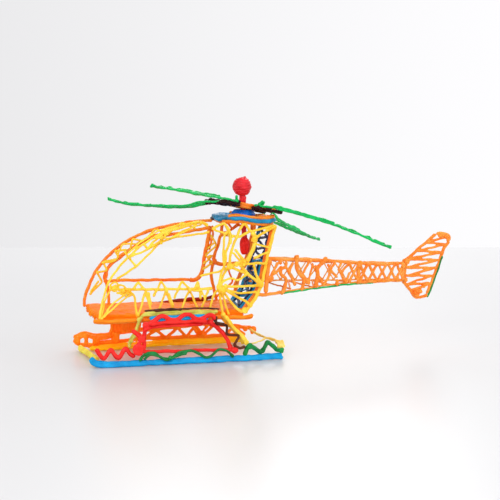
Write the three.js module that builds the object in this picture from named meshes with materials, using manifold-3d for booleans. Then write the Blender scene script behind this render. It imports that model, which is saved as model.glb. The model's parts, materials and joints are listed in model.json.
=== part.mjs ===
// A model helicopter drawn freehand in strands of coloured plastic: two flat lattice sides joined by a
// scribbled floor, a lattice rear wall and a layered roof, a tapering tail boom with a flat fin, two
// truss skids, and a four-blade rotor that turns loosely on a red pin with a ball at each end.
// Millimetres, +Z up. The nose points to -X, the near (port) side is -Y. The skids stand on z = 0.
import * as THREE from "three";
import { mergeVertices } from "three/addons/utils/BufferGeometryUtils.js";
import Module from "manifold-3d";

const wasm = await Module();
wasm.setup();

// ---------------------------------------------------------------- driving dimensions

const FINE = 0.42; // radius of the thinnest strands
const LIGHT = 0.5; // radius of a lattice strand
const MEDIUM = 0.65; // radius of a strand laid slowly
const HEAVY = 0.8; // radius of an outline strand
const THICK = 1.0; // radius of a doubled strand
const LAYER = 1.6; // pitch of strands laid one on another on the cabin's sides
const SIDE_THICK = 1.3; // thickness of one such layer, which leaves a gap to the next
const ROUND_SIDES = 6; // sides of a round strand's section
const HOLE_SIDES = 10;
const LUMP_SIDES = 7;
const CURVE_STEP = 7; // longest straight piece of a curved strand
const PAST = 0.6; // how far a stretch runs past its turn, in radii
const SLIVER = 0.1; // detail smaller than this is merged away

const FLOOR_Z = 22.6; // top of the floor
const FLOOR_THICK = 1.6;
const SIDE_HALF = 20.8; // half of the cabin's width at the floor
const SIDE_LEAN = 0.08; // how far a side leans in per millimetre of height
const SIDE_Z = 24; // height at which a side is SIDE_HALF from the middle

const BOOM_X = -5; // where the boom leaves the cabin
const BOOM_LENGTH = 79;
const BOOM_HALF = 18.2; // half of the boom's width at the cabin
const BOOM_END_HALF = 1.7; // half of the boom's width at the fin
const BOOM_THICK = 1.3;
const FIN_THICK = 1.4;

const SKID_NEAR_Y = -24.6;
const SKID_FAR_Y = 23;
const SKID_LAYER = 1.75;
const SKID_THICK = 1.45;

const ROOF_X = [-27.5, -0.5]; // front and rear of the roof
const ROOF_HALF = 17; // half of the roof's width
const ROOF_THICK = 1.3; // thickness of each of its layers

const HUB = new THREE.Vector3(-14.2, 0, 76.6); // centre of the rotor
const ROTOR_TILT = THREE.MathUtils.degToRad(12); // how far the rotor's axis leans
const ROTOR_LEAN = THREE.MathUtils.degToRad(17); // the compass direction it leans to
const HUB_RADIUS = 6.2;
const HUB_THICK = 2;
const HUB_HOLE = 2.7;
const PIN_LEAN = THREE.MathUtils.degToRad(2.6);
const PIN_RADIUS = 1.7;
const PIN_HOLE = 2.4; // radius of the hole the pin turns in

const COLOURS = {
  orange: 0xff7f1e,
  yellow: 0xffd42a,
  red: 0xf0282a,
  blue: 0x0a96e6,
  teal: 0x1e90be,
  navy: 0x0b3c8c,
  green: 0x12c35a,
  darkGreen: 0x0e8a3c,
  brown: 0x5a2a14,
  lime: 0xc9cf55,
  maroon: 0x2a0a0a,
  wine: 0xa01a10,
};

// ---------------------------------------------------------------- solids

function solidOf(geometry) {
  geometry.deleteAttribute("normal");
  geometry.deleteAttribute("uv");
  const merged = mergeVertices(geometry, 1e-4);
  const mesh = new wasm.Mesh({
    numProp: 3,
    vertProperties: new Float32Array(merged.attributes.position.array),
    triVerts: new Uint32Array(merged.index.array),
  });
  return new wasm.Manifold(mesh);
}

function join(solids) {
  return solids.reduce((whole, solid) => whole.add(solid));
}

function polygon(radius, sides) {
  const corners = [];
  for (let i = 0; i < sides; i++) {
    const turn = ((i + 0.5) / sides) * 2 * Math.PI;
    corners.push(new THREE.Vector2(radius * Math.cos(turn), radius * Math.sin(turn)));
  }
  return corners;
}

// One smooth round strand through points in space.
function curved(points, radius, sides = ROUND_SIDES) {
  const curve = new THREE.CatmullRomCurve3(points, false, "centripetal");
  const steps = Math.max(points.length - 1, Math.ceil(curve.getLength() / CURVE_STEP));
  const options = { steps, extrudePath: curve, bevelEnabled: false };
  return solidOf(new THREE.ExtrudeGeometry(new THREE.Shape(polygon(radius, sides)), options));
}

function blob(centre, radius) {
  const ball = new THREE.IcosahedronGeometry(radius, 1);
  ball.translate(centre.x, centre.y, centre.z);
  return solidOf(ball);
}

// ---------------------------------------------------------------- flat drawings

// A drawing is made flat first, u to the right and v up, with a thickness of 1 about w = 0.
// A place then turns each (u, v, w) into a point in space.

function slab(corners, holes = []) {
  const shape = new THREE.Shape(corners);
  shape.holes = holes.map((hole) => new THREE.Path(hole));
  const flat = new THREE.ExtrudeGeometry(shape, { depth: 1, bevelEnabled: false });
  flat.translate(0, 0, -0.5);
  return solidOf(flat);
}

function plate(outline, holes = []) {
  const corners = outline.map(([u, v]) => new THREE.Vector2(u, v));
  const rings = holes.map(([u, v, ru, rv]) =>
    polygon(1, HOLE_SIDES).map((p) => new THREE.Vector2(u + p.x * ru, v + p.y * rv)),
  );
  return slab(corners, rings);
}

// A stretch of strand between two stations, each a point and the way across the strand there.
function stretch([a, acrossA], [b, acrossB], radius) {
  const left = (p, across) => p.clone().addScaledVector(across, radius);
  const right = (p, across) => p.clone().addScaledVector(across, -radius);
  return slab([left(a, acrossA), left(b, acrossB), right(b, acrossB), right(a, acrossA)]);
}

// A strand laid back and forth with sharp turns, each stretch run a little past its ends.
function zig(points, radius) {
  const corners = points.map(([u, v]) => new THREE.Vector2(u, v));
  const stretches = corners.slice(1).map((end, i) => {
    const along = end.clone().sub(corners[i]).normalize();
    const across = new THREE.Vector2(-along.y, along.x);
    const a = corners[i].clone().addScaledVector(along, -PAST * radius);
    const b = end.clone().addScaledVector(along, PAST * radius);
    return stretch([a, across], [b, across], radius);
  });
  return join(stretches);
}

// A strand laid in one smooth sweep.
function line(points, radius) {
  const through = points.map(([u, v]) => new THREE.Vector3(u, v, 0));
  const curve = new THREE.CatmullRomCurve3(through, false, "centripetal");
  const steps = Math.max(points.length - 1, Math.ceil(curve.getLength() / CURVE_STEP));
  const stations = [];
  for (let i = 0; i <= steps; i++) {
    const p = curve.getPoint(i / steps);
    const along = curve.getTangent(i / steps);
    stations.push([new THREE.Vector2(p.x, p.y), new THREE.Vector2(-along.y, along.x)]);
  }
  return join(stations.slice(1).map((end, i) => stretch(stations[i], end, radius)));
}

// Strokes are [kind, radius, points]; lumps are [u, v, radius].
const STROKES = { line, zig };

function draw(place, thickness, strokes, lumps = []) {
  const solids = strokes.map(([kind, radius, points]) => STROKES[kind](points, radius));
  lumps.forEach(([u, v, radius]) => {
    solids.push(slab(polygon(radius, LUMP_SIDES).map((p) => p.add(new THREE.Vector2(u, v)))));
  });
  return put(place, thickness, join(solids));
}

// Sets a flat solid in its place. Its slivers are merged away while it is still flat.
function put(place, thickness, flat) {
  return flat.asOriginal().simplify(SLIVER).warp((vertex) => {
    const [u, v, w] = vertex;
    place(u, v, w * thickness).toArray(vertex);
  });
}

function sideHalf(z) {
  return SIDE_HALF - SIDE_LEAN * (z - SIDE_Z);
}

function boomHalf(x) {
  return THREE.MathUtils.lerp(BOOM_HALF, BOOM_END_HALF, (x - BOOM_X) / BOOM_LENGTH);
}

function onSide(side, layer = 0) {
  return (x, z, w) => new THREE.Vector3(x, side * (sideHalf(z) + layer) - w, z);
}

function onBoom(side, layer = 0) {
  return (x, z, w) => new THREE.Vector3(x, side * (boomHalf(x) + layer) - w, z);
}

function upright(y) {
  return (x, z, w) => new THREE.Vector3(x, y - w, z);
}

function level(z) {
  return (x, y, w) => new THREE.Vector3(x, y, z + w);
}

// ---------------------------------------------------------------- the scene graph

const helicopter = new THREE.Group();
const cabin = new THREE.Group();
const rotor = new THREE.Group();
const pin = new THREE.Group();
helicopter.add(cabin, rotor, pin);

function addPiece(group, name, colour, solid) {
  const mesh = solid.getMesh();
  const geometry = new THREE.BufferGeometry();
  geometry.setAttribute("position", new THREE.BufferAttribute(mesh.vertProperties, 3));
  geometry.setIndex(new THREE.BufferAttribute(mesh.triVerts, 1));
  geometry.computeVertexNormals();
  const material = new THREE.MeshStandardMaterial({
    color: COLOURS[colour],
    roughness: 0.35,
    metalness: 0,
  });
  const piece = new THREE.Mesh(geometry, material);
  piece.name = name;
  group.add(piece);
}

// ---------------------------------------------------------------- floor

const NOSE_X = -95;
const REAR_X = -17.5;

function makeFloor() {
  const outline = [
    [NOSE_X + 0.8, 18],
    [NOSE_X + 0.2, 12],
    [-93.5, -4],
    [-90.4, -17.6],
    [REAR_X - 2, -18.3],
    [REAR_X + 1.5, -6],
    [REAR_X + 1.5, 10],
    [REAR_X, 18.5],
  ];
  const gaps = [
    [-28, 6, 3.2, 1.4],
    [-27, -9, 2.4, 1],
    [-76, -6, 0.9, 0.5],
    [-70, -9, 1.4, 0.5],
  ];
  const pan = put(level(FLOOR_Z - FLOOR_THICK / 2), FLOOR_THICK, plate(outline, gaps));
  addPiece(cabin, "floor_pan", "orange", pan);

  const nearPoints = [
    [-93.4, -14.5, 21.9],
    [-92.2, -20, 21.9],
    [-60, -20.2, 21.8],
    [-30, -20.2, 21.8],
    [-15, -19.6, 22],
    [-13.2, -15, 22.4],
  ];
  const rim = curved(nearPoints.map((p) => new THREE.Vector3(...p)), 1.15);
  addPiece(cabin, "floor_near_rim", "orange", rim);

  const farPoints = [
    [-96.2, 15, 22.2],
    [-95.2, 20.2, 22.2],
    [-60, 20.6, 22.2],
    [-30, 20.6, 22.2],
    [-17, 20.3, 22.3],
  ];
  const farRim = curved(farPoints.map((p) => new THREE.Vector3(...p)), THICK);
  addPiece(cabin, "floor_far_rim", "orange", farRim);

  const benchFoot = FLOOR_Z + 0.3;
  const bench = plate([
    [-69, benchFoot],
    [-26.5, benchFoot],
    [-27, benchFoot + 2.6],
    [-38, benchFoot + 2.2],
    [-48, benchFoot + 1.6],
    [-68, benchFoot + 0.9],
  ]);
  addPiece(cabin, "floor_bench", "wine", put(upright(17.4), 1.6, bench));
}

// ---------------------------------------------------------------- near side

function makeNearSide() {
  const arch = [
    ["line", HEAVY, [[-90, 24.4], [-88.5, 32.5], [-85.3, 41.5], [-82.2, 46], [-75.3, 53.5],
      [-68, 59.4], [-59.6, 64.2], [-49, 67.2], [-39.5, 69.8], [-35.6, 67.6]]],
    ["line", LIGHT, [[-75.3, 53.3], [-67, 56.3], [-59.2, 61.2], [-56, 64.8]]],
    ["zig", FINE, [[-89.2, 24.8], [-83.4, 31], [-76.8, 35.6]]],
    ["zig", FINE, [[-88.6, 24.8], [-81, 30.5], [-74, 35.4]]],
    ["zig", LIGHT, [[-67.8, 59.2], [-66.2, 56.8], [-60.5, 63.4]]],
  ];
  addPiece(cabin, "near_nose_arch", "yellow", draw(onSide(-1), SIDE_THICK, arch));

  const rim = [
    ["line", MEDIUM, [[-81.7, 42.3], [-76, 45.6], [-72, 48.4], [-66.4, 53.2], [-59.5, 59.8],
      [-52, 62.2], [-44, 63.2], [-34.6, 64.6]]],
    ["zig", LIGHT, [[-71.9, 48.4], [-75.3, 52.6], [-77.6, 56.2]]],
    ["zig", LIGHT, [[-59.3, 59.9], [-58.4, 63.2]]],
    ["zig", FINE, [[-57, 60.8], [-47, 66], [-38.5, 68.4]]],
  ];
  addPiece(cabin, "near_window_rim", "yellow", draw(onSide(-1, -LAYER), SIDE_THICK, rim));

  const sill = [
    ["line", MEDIUM, [[-84.8, 38.4], [-80, 37.4], [-60, 36.7], [-33.6, 36.3]]],
    ["line", FINE, [[-82, 35.6], [-74, 35], [-72.6, 29.5], [-71.6, 24.6]]],
    ["zig", LIGHT, [[-71.5, 24.6], [-67.4, 36.4], [-64.6, 26.4]]],
    ["zig", LIGHT, [[-61.6, 26.4], [-57.3, 36.4], [-53, 26.2]]],
    ["zig", LIGHT, [[-50.6, 26.2], [-45.6, 36.4], [-40.4, 25.6], [-36, 36.2]]],
    ["zig", LIGHT, [[-74, 36.8], [-70.9, 40.7], [-67.6, 36.6]]],
    ["zig", LIGHT, [[-63.6, 33], [-59.8, 40.7], [-57, 36.6]]],
    ["zig", LIGHT, [[-53.4, 31.6], [-49.4, 40.5], [-45.4, 36.5]]],
    ["zig", LIGHT, [[-42.8, 36.4], [-41.2, 40.4], [-39.9, 31]]],
    ["zig", FINE, [[-84.6, 36.8], [-87.6, 31.2], [-89, 26.6]]],
  ];
  const lumps = [
    [-82.8, 38.2, 2.7],
    [-79.4, 36.2, 2.2],
    [-76.4, 34.8, 1.6],
    [-57.2, 36.2, 1.1],
    [-45.6, 36, 1.1],
  ];
  addPiece(cabin, "near_sill_lattice", "yellow", draw(onSide(-1, -LAYER), SIDE_THICK, sill, lumps));

  const post = [
    ["line", HEAVY, [[-27.4, 69.4], [-25.6, 65], [-25.2, 60], [-27.2, 54], [-27.4, 49.6],
      [-29.6, 44], [-31.1, 38.4]]],
    ["line", LIGHT, [[-27.6, 64.4], [-27.9, 59.5], [-28.6, 52], [-28, 47.8]]],
    ["zig", LIGHT, [[-25.8, 65.4], [-27.7, 63.4]]],
  ];
  addPiece(cabin, "near_door_post", "yellow", draw(onSide(-1, LAYER), SIDE_THICK, post));

  const hubUpper = [-25.4, 47.4];
  const hubLower = [-30.8, 37.4];
  const hubRear = [-9.4, 37.6];
  const quarter = [
    ["zig", MEDIUM, [[-34, 65.8], [-27.6, 69], [-24.1, 62.6]]],
    ["zig", FINE, [[-32.8, 65.6], [-24.6, 63]]],
    ["zig", MEDIUM, [[-24.1, 62.7], [-19.6, 62], [-14.2, 64.8]]],
    ["line", MEDIUM, [[-17.4, 68.8], [-20.4, 63.9], [-22, 60], [-24.3, 54.6], [-25.2, 48]]],
    ["zig", MEDIUM, [[-17.4, 68.8], [-14.1, 64.8], [-10.4, 65.2], [-1.2, 67.6]]],
    ["line", THICK, [[-13.6, 64.4], [-11.8, 61.6], [-12.6, 56.6], [-16.4, 49.2]]],
    ["zig", LIGHT, [[-1.2, 67.2], [-11.6, 61.4]]],
    ["zig", FINE, [[-4.4, 56.4], [-11.8, 58.2]]],
    ["zig", FINE, [[-4.9, 54.2], [-12.8, 51]]],
    ["zig", MEDIUM, [[-6, 48.3], [-21.4, 48.6], hubUpper]],
    ["zig", LIGHT, [[-22.4, 56], [-17.2, 49]]],
    ["zig", FINE, [[-23.4, 54.4], [-19, 48.8]]],
    ["zig", LIGHT, [hubUpper, [-16.5, 43.4], hubRear]],
    ["zig", LIGHT, [[-20.4, 48.4], [-13.6, 41.4], hubRear]],
    ["zig", LIGHT, [[-12.8, 48.2], [-11.8, 43.6], hubRear]],
    ["zig", LIGHT, [hubUpper, [-28.2, 43.4], hubLower]],
    ["zig", FINE, [[-40.4, 42.8], [-31, 44.8], hubUpper]],
    ["line", FINE, [hubLower, [-27.4, 40.6], [-24.6, 41.4], [-21.2, 40.2], [-16.5, 43.2]]],
    ["zig", LIGHT, [hubLower, [-21, 37], hubRear]],
    ["zig", FINE, [hubLower, [-21.5, 33.8], [-13, 34], [-11.4, 34.4]]],
    ["zig", LIGHT, [hubLower, [-17, 29.4], [-15.2, 27.6]]],
    ["line", MEDIUM, [hubLower, [-26.4, 31.8], [-22.4, 26.6], [-18.6, 24.6]]],
    ["zig", HEAVY, [hubLower, [-30.2, 31], [-28.9, 24.6]]],
    ["zig", FINE, [hubLower, [-28.4, 31], [-25.8, 24.6]]],
    ["zig", FINE, [hubLower, [-34, 32], [-36.4, 25.2]]],
  ];
  const edge = ["line", HEAVY, [[-1, 67.8], [-4.2, 56.6], [-7, 45.2], [-8.9, 38], [-11.4, 32.2],
    [-17.8, 24.4]]];
  const knots = [
    [...hubUpper, 1.9],
    [-21.6, 48.4, 1.5],
    [...hubLower, 1.8],
    [...hubRear, 1.5],
    [-17.8, 25.4, 1.7],
  ];
  const solid = draw(onSide(-1), SIDE_THICK, [...quarter, edge], knots);
  addPiece(cabin, "near_rear_quarter", "yellow", solid);
}

// ---------------------------------------------------------------- far side

function makeFarSide() {
  const outline = [
    ["line", HEAVY, [[-95.2, 24], [-95.2, 27.6], [-92.6, 35], [-87.4, 44.6], [-80, 52.4],
      [-73, 57.4], [-62, 62.8], [-48, 66.8], [-32.4, 69], [-27.6, 69.2]]],
  ];
  addPiece(cabin, "far_outer_arch", "orange", draw(onSide(1), SIDE_THICK, outline));

  const frame = [
    ["line", HEAVY, [[-84.6, 37], [-84.6, 40], [-81.8, 45], [-76.4, 49.3], [-67.6, 55.4],
      [-62, 58.6], [-50, 60.8], [-33.8, 63.5]]],
    ["line", HEAVY, [[-34, 63.5], [-30, 61.8], [-29.6, 55.4], [-31.4, 49], [-33.5, 40.6],
      [-36.4, 37], [-40, 36.4]]],
    ["line", HEAVY, [[-39.5, 36.4], [-60, 36.6], [-75, 36.9], [-84.9, 36.6]]],
    ["zig", MEDIUM, [[-84, 36.8], [-82.8, 31], [-82.6, 24.4]]],
  ];
  addPiece(cabin, "far_window_frame", "orange", draw(onSide(1, -LAYER - 0.2), SIDE_THICK, frame));

  const lacing = [
    ["zig", LIGHT, [[-92.8, 29.6], [-86, 36.6], [-89, 41.8], [-83.4, 42.4], [-85.4, 47.2],
      [-77.4, 48.8], [-79.2, 53], [-71.4, 53.2], [-70, 59], [-64.6, 57.6], [-57.6, 64.2]]],
    ["zig", FINE, [[-92.4, 31.2], [-87.6, 37.4]]],
    ["zig", LIGHT, [[-57.6, 64.2], [-52, 60.6], [-44, 67.4], [-36, 63.4]]],
  ];
  addPiece(cabin, "far_arch_lacing", "yellow", draw(onSide(1, LAYER), SIDE_THICK, lacing));

  const post = [
    ["line", HEAVY, [[-21.4, 67.2], [-23.4, 61], [-25.2, 55.3], [-27, 50], [-27.2, 45.8]]],
    ["zig", HEAVY, [[-27.2, 45.8], [-19, 44.6], [-9.6, 44.8]]],
    ["zig", MEDIUM, [[-27.2, 45.8], [-27.6, 38], [-24.2, 24.4]]],
    ["zig", FINE, [[-23.6, 64], [-12, 61.8]]],
    ["zig", LIGHT, [[-19.4, 44.8], [-15.6, 34.4], [-24.8, 27]]],
  ];
  addPiece(cabin, "far_rear_post", "orange", draw(onSide(1), SIDE_THICK, post));

  const ties = [
    ["zig", LIGHT, [[-28.6, 59.6], [-25, 54.6], [-31.4, 49.6], [-27.2, 45], [-33, 41.6]]],
    ["zig", FINE, [[-30.6, 52.4], [-25.6, 57]]],
    ["zig", FINE, [[-32.6, 44.4], [-27, 49.6]]],
    ["line", MEDIUM, [[-33, 41.6], [-36.6, 36.8], [-40.6, 27.8]]],
  ];
  addPiece(cabin, "far_post_ties", "yellow", draw(onSide(1, LAYER), SIDE_THICK, ties));

  const edge = [
    ["line", HEAVY, [[-3.4, 67.4], [-5.6, 59], [-8.2, 47.8], [-11.2, 40.4], [-13.8, 35.2],
      [-18.4, 24.6]]],
  ];
  addPiece(cabin, "far_rear_edge", "orange", draw(onSide(1, -LAYER - 0.2), SIDE_THICK, edge));
}

// ---------------------------------------------------------------- rear wall

// Where the rear wall stands at a height: it leans back from the floor to the roof.
const REAR_PROFILE = [
  [24.4, -17.6],
  [32.2, -11.4],
  [38.5, -8.7],
  [46, -6.9],
  [56.6, -4.2],
  [66.6, -1.6],
];
const WALL_THICK = 1.5;

function rearX(z) {
  const i = Math.max(1, REAR_PROFILE.findIndex(([height]) => height >= z));
  const [[z0, x0], [z1, x1]] = [REAR_PROFILE[i - 1], REAR_PROFILE[i]];
  return THREE.MathUtils.mapLinear(z, z0, z1, x0, x1);
}

// A point of the rear wall: y across, z up, and a layer's distance towards the tail.
function onRearWall(layer) {
  return (y, z, w) => new THREE.Vector3(rearX(z) + layer - 0.6 + w, y, z);
}

// Points from side to side of the wall, rising in equal steps.
function rungs(count, from, to, halfWidth) {
  const points = [];
  for (let i = 0; i <= count; i++) {
    points.push([i % 2 ? halfWidth : -halfWidth, THREE.MathUtils.lerp(from, to, i / count)]);
  }
  return points;
}

function makeRearWall() {
  const sky = [
    ["line", THICK, [[-11, 25.2], [-12, 37], [-11, 49]]],
    ["line", THICK, [[13, 25.2], [13.4, 37], [12, 49]]],
    ["zig", THICK, rungs(9, 25.2, 49, 12)],
    ["zig", HEAVY, [[-12, 37], [13.2, 33.6]]],
    ["zig", HEAVY, [[-11.4, 45], [12.4, 42]]],
  ];
  addPiece(cabin, "rear_wall_lattice", "blue", draw(onRearWall(0), WALL_THICK, sky));

  const navy = [
    ["zig", MEDIUM, rungs(6, 53, 65.6, 10.8)],
    ["line", MEDIUM, [[-10.6, 52.6], [-11.2, 60], [-10, 65.8]]],
  ];
  addPiece(cabin, "rear_wall_upper_lattice", "navy", draw(onRearWall(0), WALL_THICK, navy));

  const nearEdge = [["line", HEAVY, [[-15.8, 25.2], [-15.6, 37], [-14.8, 50], [-13.6, 65.4]]]];
  addPiece(cabin, "rear_wall_near_edge", "orange", draw(onRearWall(0.3), WALL_THICK, nearEdge));

  const web = [
    ["line", MEDIUM, [[10.4, 25.4], [9.6, 37], [8, 50], [6.4, 65.4]]],
    ["zig", MEDIUM, [[-13, 25.4], [10.4, 26.2]]],
  ];
  addPiece(cabin, "rear_wall_stay", "teal", draw(onRearWall(-2.1), WALL_THICK, web));
}

// ---------------------------------------------------------------- roof

function flatLoop(points, z, radius) {
  return curved(points.map(([x, y]) => new THREE.Vector3(x, y, z)), radius);
}

function roofOutline(inset) {
  const [front, rear] = ROOF_X;
  const half = ROOF_HALF - inset;
  return [
    [front + 3.4 + inset, -half + 2],
    [front + 6 + inset, -half],
    [rear - 3 - inset, -half],
    [rear - inset, -half + 3],
    [rear - inset, half - 3],
    [rear - 3 - inset, half],
    [front + 5 + inset, half],
    [front + inset, half - 4],
  ];
}

function roofPlate(inset, z) {
  const hole = PIN_HOLE + 0.4;
  return put(level(z), ROOF_THICK, plate(roofOutline(inset), [[HUB.x, 0, hole, hole]]));
}

function makeRoof() {
  addPiece(cabin, "roof_under", "orange", roofPlate(1.6, 69.05));
  addPiece(cabin, "roof_band", "teal", roofPlate(0, 70.65));

  const [front, rear] = ROOF_X;
  const topPoints = [
    [front + 9, -13.4],
    [front + 16, -14.6],
    [rear - 2.6, -13.6],
    [rear - 2.2, 0],
    [rear - 3.6, 12],
    [front + 12, 13.8],
  ];
  addPiece(cabin, "roof_top", "orange", flatLoop(topPoints, 72.1, 0.5));

  const wing = [
    [front + 4.6, -11.6],
    [front + 7.4, -13.2],
    [front + 5.2, 0],
    [front + 5.2, 12],
    [front + 1.8, 11],
  ];
  addPiece(cabin, "roof_front_wing", "teal", flatLoop(wing, 72.4, 0.75));

  const line = [
    [front - 0.2, -2],
    [front - 1.2, 5],
    [front - 1.2, 12],
  ];
  addPiece(cabin, "roof_front_line", "maroon", flatLoop(line, 70.3, MEDIUM));

  const collar = new THREE.LatheGeometry(
    [
      new THREE.Vector2(PIN_HOLE, 0),
      new THREE.Vector2(6, 0),
      new THREE.Vector2(6.3, 0.9),
      new THREE.Vector2(5.4, 2),
      new THREE.Vector2(4.4, 2.5),
      new THREE.Vector2(PIN_HOLE, 2.5),
      new THREE.Vector2(PIN_HOLE, 0),
    ],
    20,
  );
  collar.rotateX(Math.PI / 2);
  collar.translate(HUB.x, 0, 71.6);
  addPiece(cabin, "roof_collar", "navy", solidOf(collar));
}

// ---------------------------------------------------------------- tail boom and fin

function makeBoom() {
  const nearTop = [[-3.2, 50.8], [2, 50], [19, 49], [38, 47], [47, 45.8], [60, 44.8], [71.6, 44.6]];
  const nearBottom = [[-8.8, 33.4], [2, 33.6], [20, 34.6], [38.5, 35.8], [54, 35.6], [71.4, 35.4]];
  const thick = [
    ["line", THICK, [[0.2, 49.6], [3.2, 45.4], [4.6, 41], [3, 36.4], [1.2, 33]]],
    ["line", THICK, [[10, 52], [11, 46], [14, 39], [13.6, 34]]],
    ["line", THICK, [[26, 49.6], [22.6, 42], [21.6, 34.4]]],
    ["zig", HEAVY, [[19.4, 48.6], [17.4, 42.4]]],
    ["zig", THICK, [[34, 39.4], [33.6, 35.3]]],
    ["line", HEAVY, [[46.6, 47], [46.2, 41], [47.2, 35.4]]],
    ["zig", HEAVY, [[-3.4, 50.6], [-4.4, 34.6]]],
    ["zig", HEAVY, [[71.8, 44.6], [72, 35.4]]],
  ];
  const crosses = [];
  const bays = 8;
  for (let i = 0; i < bays; i++) {
    const a = -3.6 + (74.6 * i) / bays;
    const b = -3.6 + (74.6 * (i + 1)) / bays;
    const topAt = (x) => THREE.MathUtils.lerp(50.2, 44.7, Math.min(1, (x + 5) / 60));
    const low = (x) => THREE.MathUtils.lerp(33.4, 35.7, Math.min(1, (x + 5) / 45));
    crosses.push(["zig", LIGHT, [[a, topAt(a)], [b - 1.5, low(b)]]]);
    crosses.push(["zig", LIGHT, [[a + 1, low(a)], [b, topAt(b)]]]);
  }
  const near = draw(onBoom(-1), BOOM_THICK, [
    ["line", HEAVY, nearTop],
    ["line", HEAVY, nearBottom],
    ...thick,
    ...crosses,
  ]);
  addPiece(cabin, "boom_near_face", "orange", near);

  const farTop = [[-4, 47.4], [12, 47.2], [30, 46.4], [50, 45], [71, 44.2]];
  const farBottom = [[-9, 34.4], [10, 34.9], [40, 35], [71, 35.6]];
  const farLaces = [[-4, 47.2], [3, 34.8], [10, 47], [17.5, 35], [24, 46.4], [32, 35.2], [38, 45.8],
    [45, 35.4], [50.5, 45], [56.5, 35.6], [61.5, 44.6], [66.5, 35.8], [71, 44.2]];
  const farBack = farLaces.map(([x], i) => [x, i % 2 ? farLaces[i - 1][1] - 0.4 : 35.2]);
  const far = draw(onBoom(1), BOOM_THICK, [
    ["line", MEDIUM, farTop],
    ["line", FINE, farBottom],
    ["zig", LIGHT, farLaces],
    ["zig", FINE, farBack],
    ["zig", HEAVY, [[-4, 47.4], [-6.6, 34.6]]],
  ]);
  addPiece(cabin, "boom_far_face", "orange", far);
}

// The two faces of the boom are laced together across the top and the bottom.
function makeBoomLacing() {
  const top = [];
  const bottom = [];
  const steps = 9;
  for (let i = 0; i <= steps; i++) {
    const x = -1 + (58 * i) / steps;
    const side = i % 2 ? 1 : -1;
    top.push([x, side * (boomHalf(x) - 1.6)]);
    bottom.push([x + 2, -side * (boomHalf(x + 2) - 1.6)]);
  }
  // The far top edge is lower than the near one, by less towards the tail.
  const topPlace = (x, y, w) => {
    const drop = 1.8 + (1.4 * y) / boomHalf(x) + 0.055 * (x + 1);
    return new THREE.Vector3(x, y, 49.6 - drop + w);
  };
  const bottomPlace = (x, y, w) => new THREE.Vector3(x, y, 34.4 + 0.01 * x + w);
  const topLacing = put(topPlace, 2 * LIGHT, zig(top, LIGHT));
  const bottomLacing = put(bottomPlace, 2 * LIGHT, zig(bottom, LIGHT));
  addPiece(cabin, "boom_top_lacing", "orange", topLacing);
  addPiece(cabin, "boom_bottom_lacing", "orange", bottomLacing);

  const keel = [["line", MEDIUM, [[3.4, 31.6], [12, 32.2], [24, 32.8], [38.5, 33.4], [54, 33.5]]]];
  addPiece(cabin, "boom_keel_strand", "green", draw(onBoom(-1), BOOM_THICK, keel));
}

const FIN_LEFT = [[76.2, 46.4], [84.2, 52.8], [90.2, 57.5], [93, 60]];
const FIN_TOP = [[93, 60], [95.6, 60.4], [99.6, 59.6], [101, 58.4], [100.7, 55.8]];
const FIN_RIGHT = [[100.7, 56], [98.4, 52.6], [96, 46.6], [93.6, 40], [91, 33], [88.4, 27.2]];
const FIN_FOOT = [[88.4, 27.2], [87, 26], [82.4, 25.6], [80.4, 27.2], [77.6, 31], [74.4, 34.8]];

function makeFin() {
  const rows = [];
  const count = 11;
  const height = (t) => THREE.MathUtils.lerp(58, 29.6, t);
  const frontAt = (z) => (z > 46 ? 76.2 + (z - 46.4) * 1.23 : z > 35 ? 75.6 : 75.2 + (35 - z) * 0.82);
  const backAt = (z) => 101 - (58 - z) * 0.4;
  for (let i = 0; i <= count; i++) {
    const z = height(i / count);
    const slope = THREE.MathUtils.lerp(-1.6, 1.8, i / count);
    const x = i % 2 ? frontAt(z - 0.6) + 0.2 : backAt(z) - 0.4;
    rows.push([x, z + (i % 2 ? -slope / 2 : slope / 2)]);
  }
  const panel = draw(
    upright(0),
    FIN_THICK,
    [
      ["line", HEAVY, FIN_LEFT],
      ["line", HEAVY, FIN_TOP],
      ["line", HEAVY, FIN_RIGHT],
      ["line", HEAVY, FIN_FOOT],
      ["zig", HEAVY, [[76.2, 46.6], [75.4, 41.6], [74.6, 34.6]]],
      ["zig", MEDIUM, rows],
      ["zig", MEDIUM, [[79.4, 29.6], [87.4, 31.4]]],
    ],
    [
      [82.4, 27.8, 2.3],
      [76, 45.4, 1.5],
      [75.2, 35.4, 1.3],
    ],
  );
  addPiece(cabin, "tail_fin", "orange", panel);

  const edge = [
    ["line", FINE, [[97.9, 48], [95.4, 40.4], [93.2, 34.6], [90.4, 27.4], [89.2, 25.2]]],
  ];
  addPiece(cabin, "fin_edge_strand", "darkGreen", draw(upright(-1.2), 0.8, edge));
}

// ---------------------------------------------------------------- skids

const NEAR_BACK = SKID_NEAR_Y + SKID_LAYER;
const NEAR_FRONT = SKID_NEAR_Y - SKID_LAYER;

// Everything of a runner that would be under the ground is cut off, which leaves its flat underside.
function runner(points, y, radius) {
  const strand = curved(points.map(([x, z]) => new THREE.Vector3(x, y, z)), radius, 8);
  const ground = new THREE.BoxGeometry(140, 20, 10);
  ground.translate(-45, y, -5);
  return strand.subtract(solidOf(ground));
}

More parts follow.
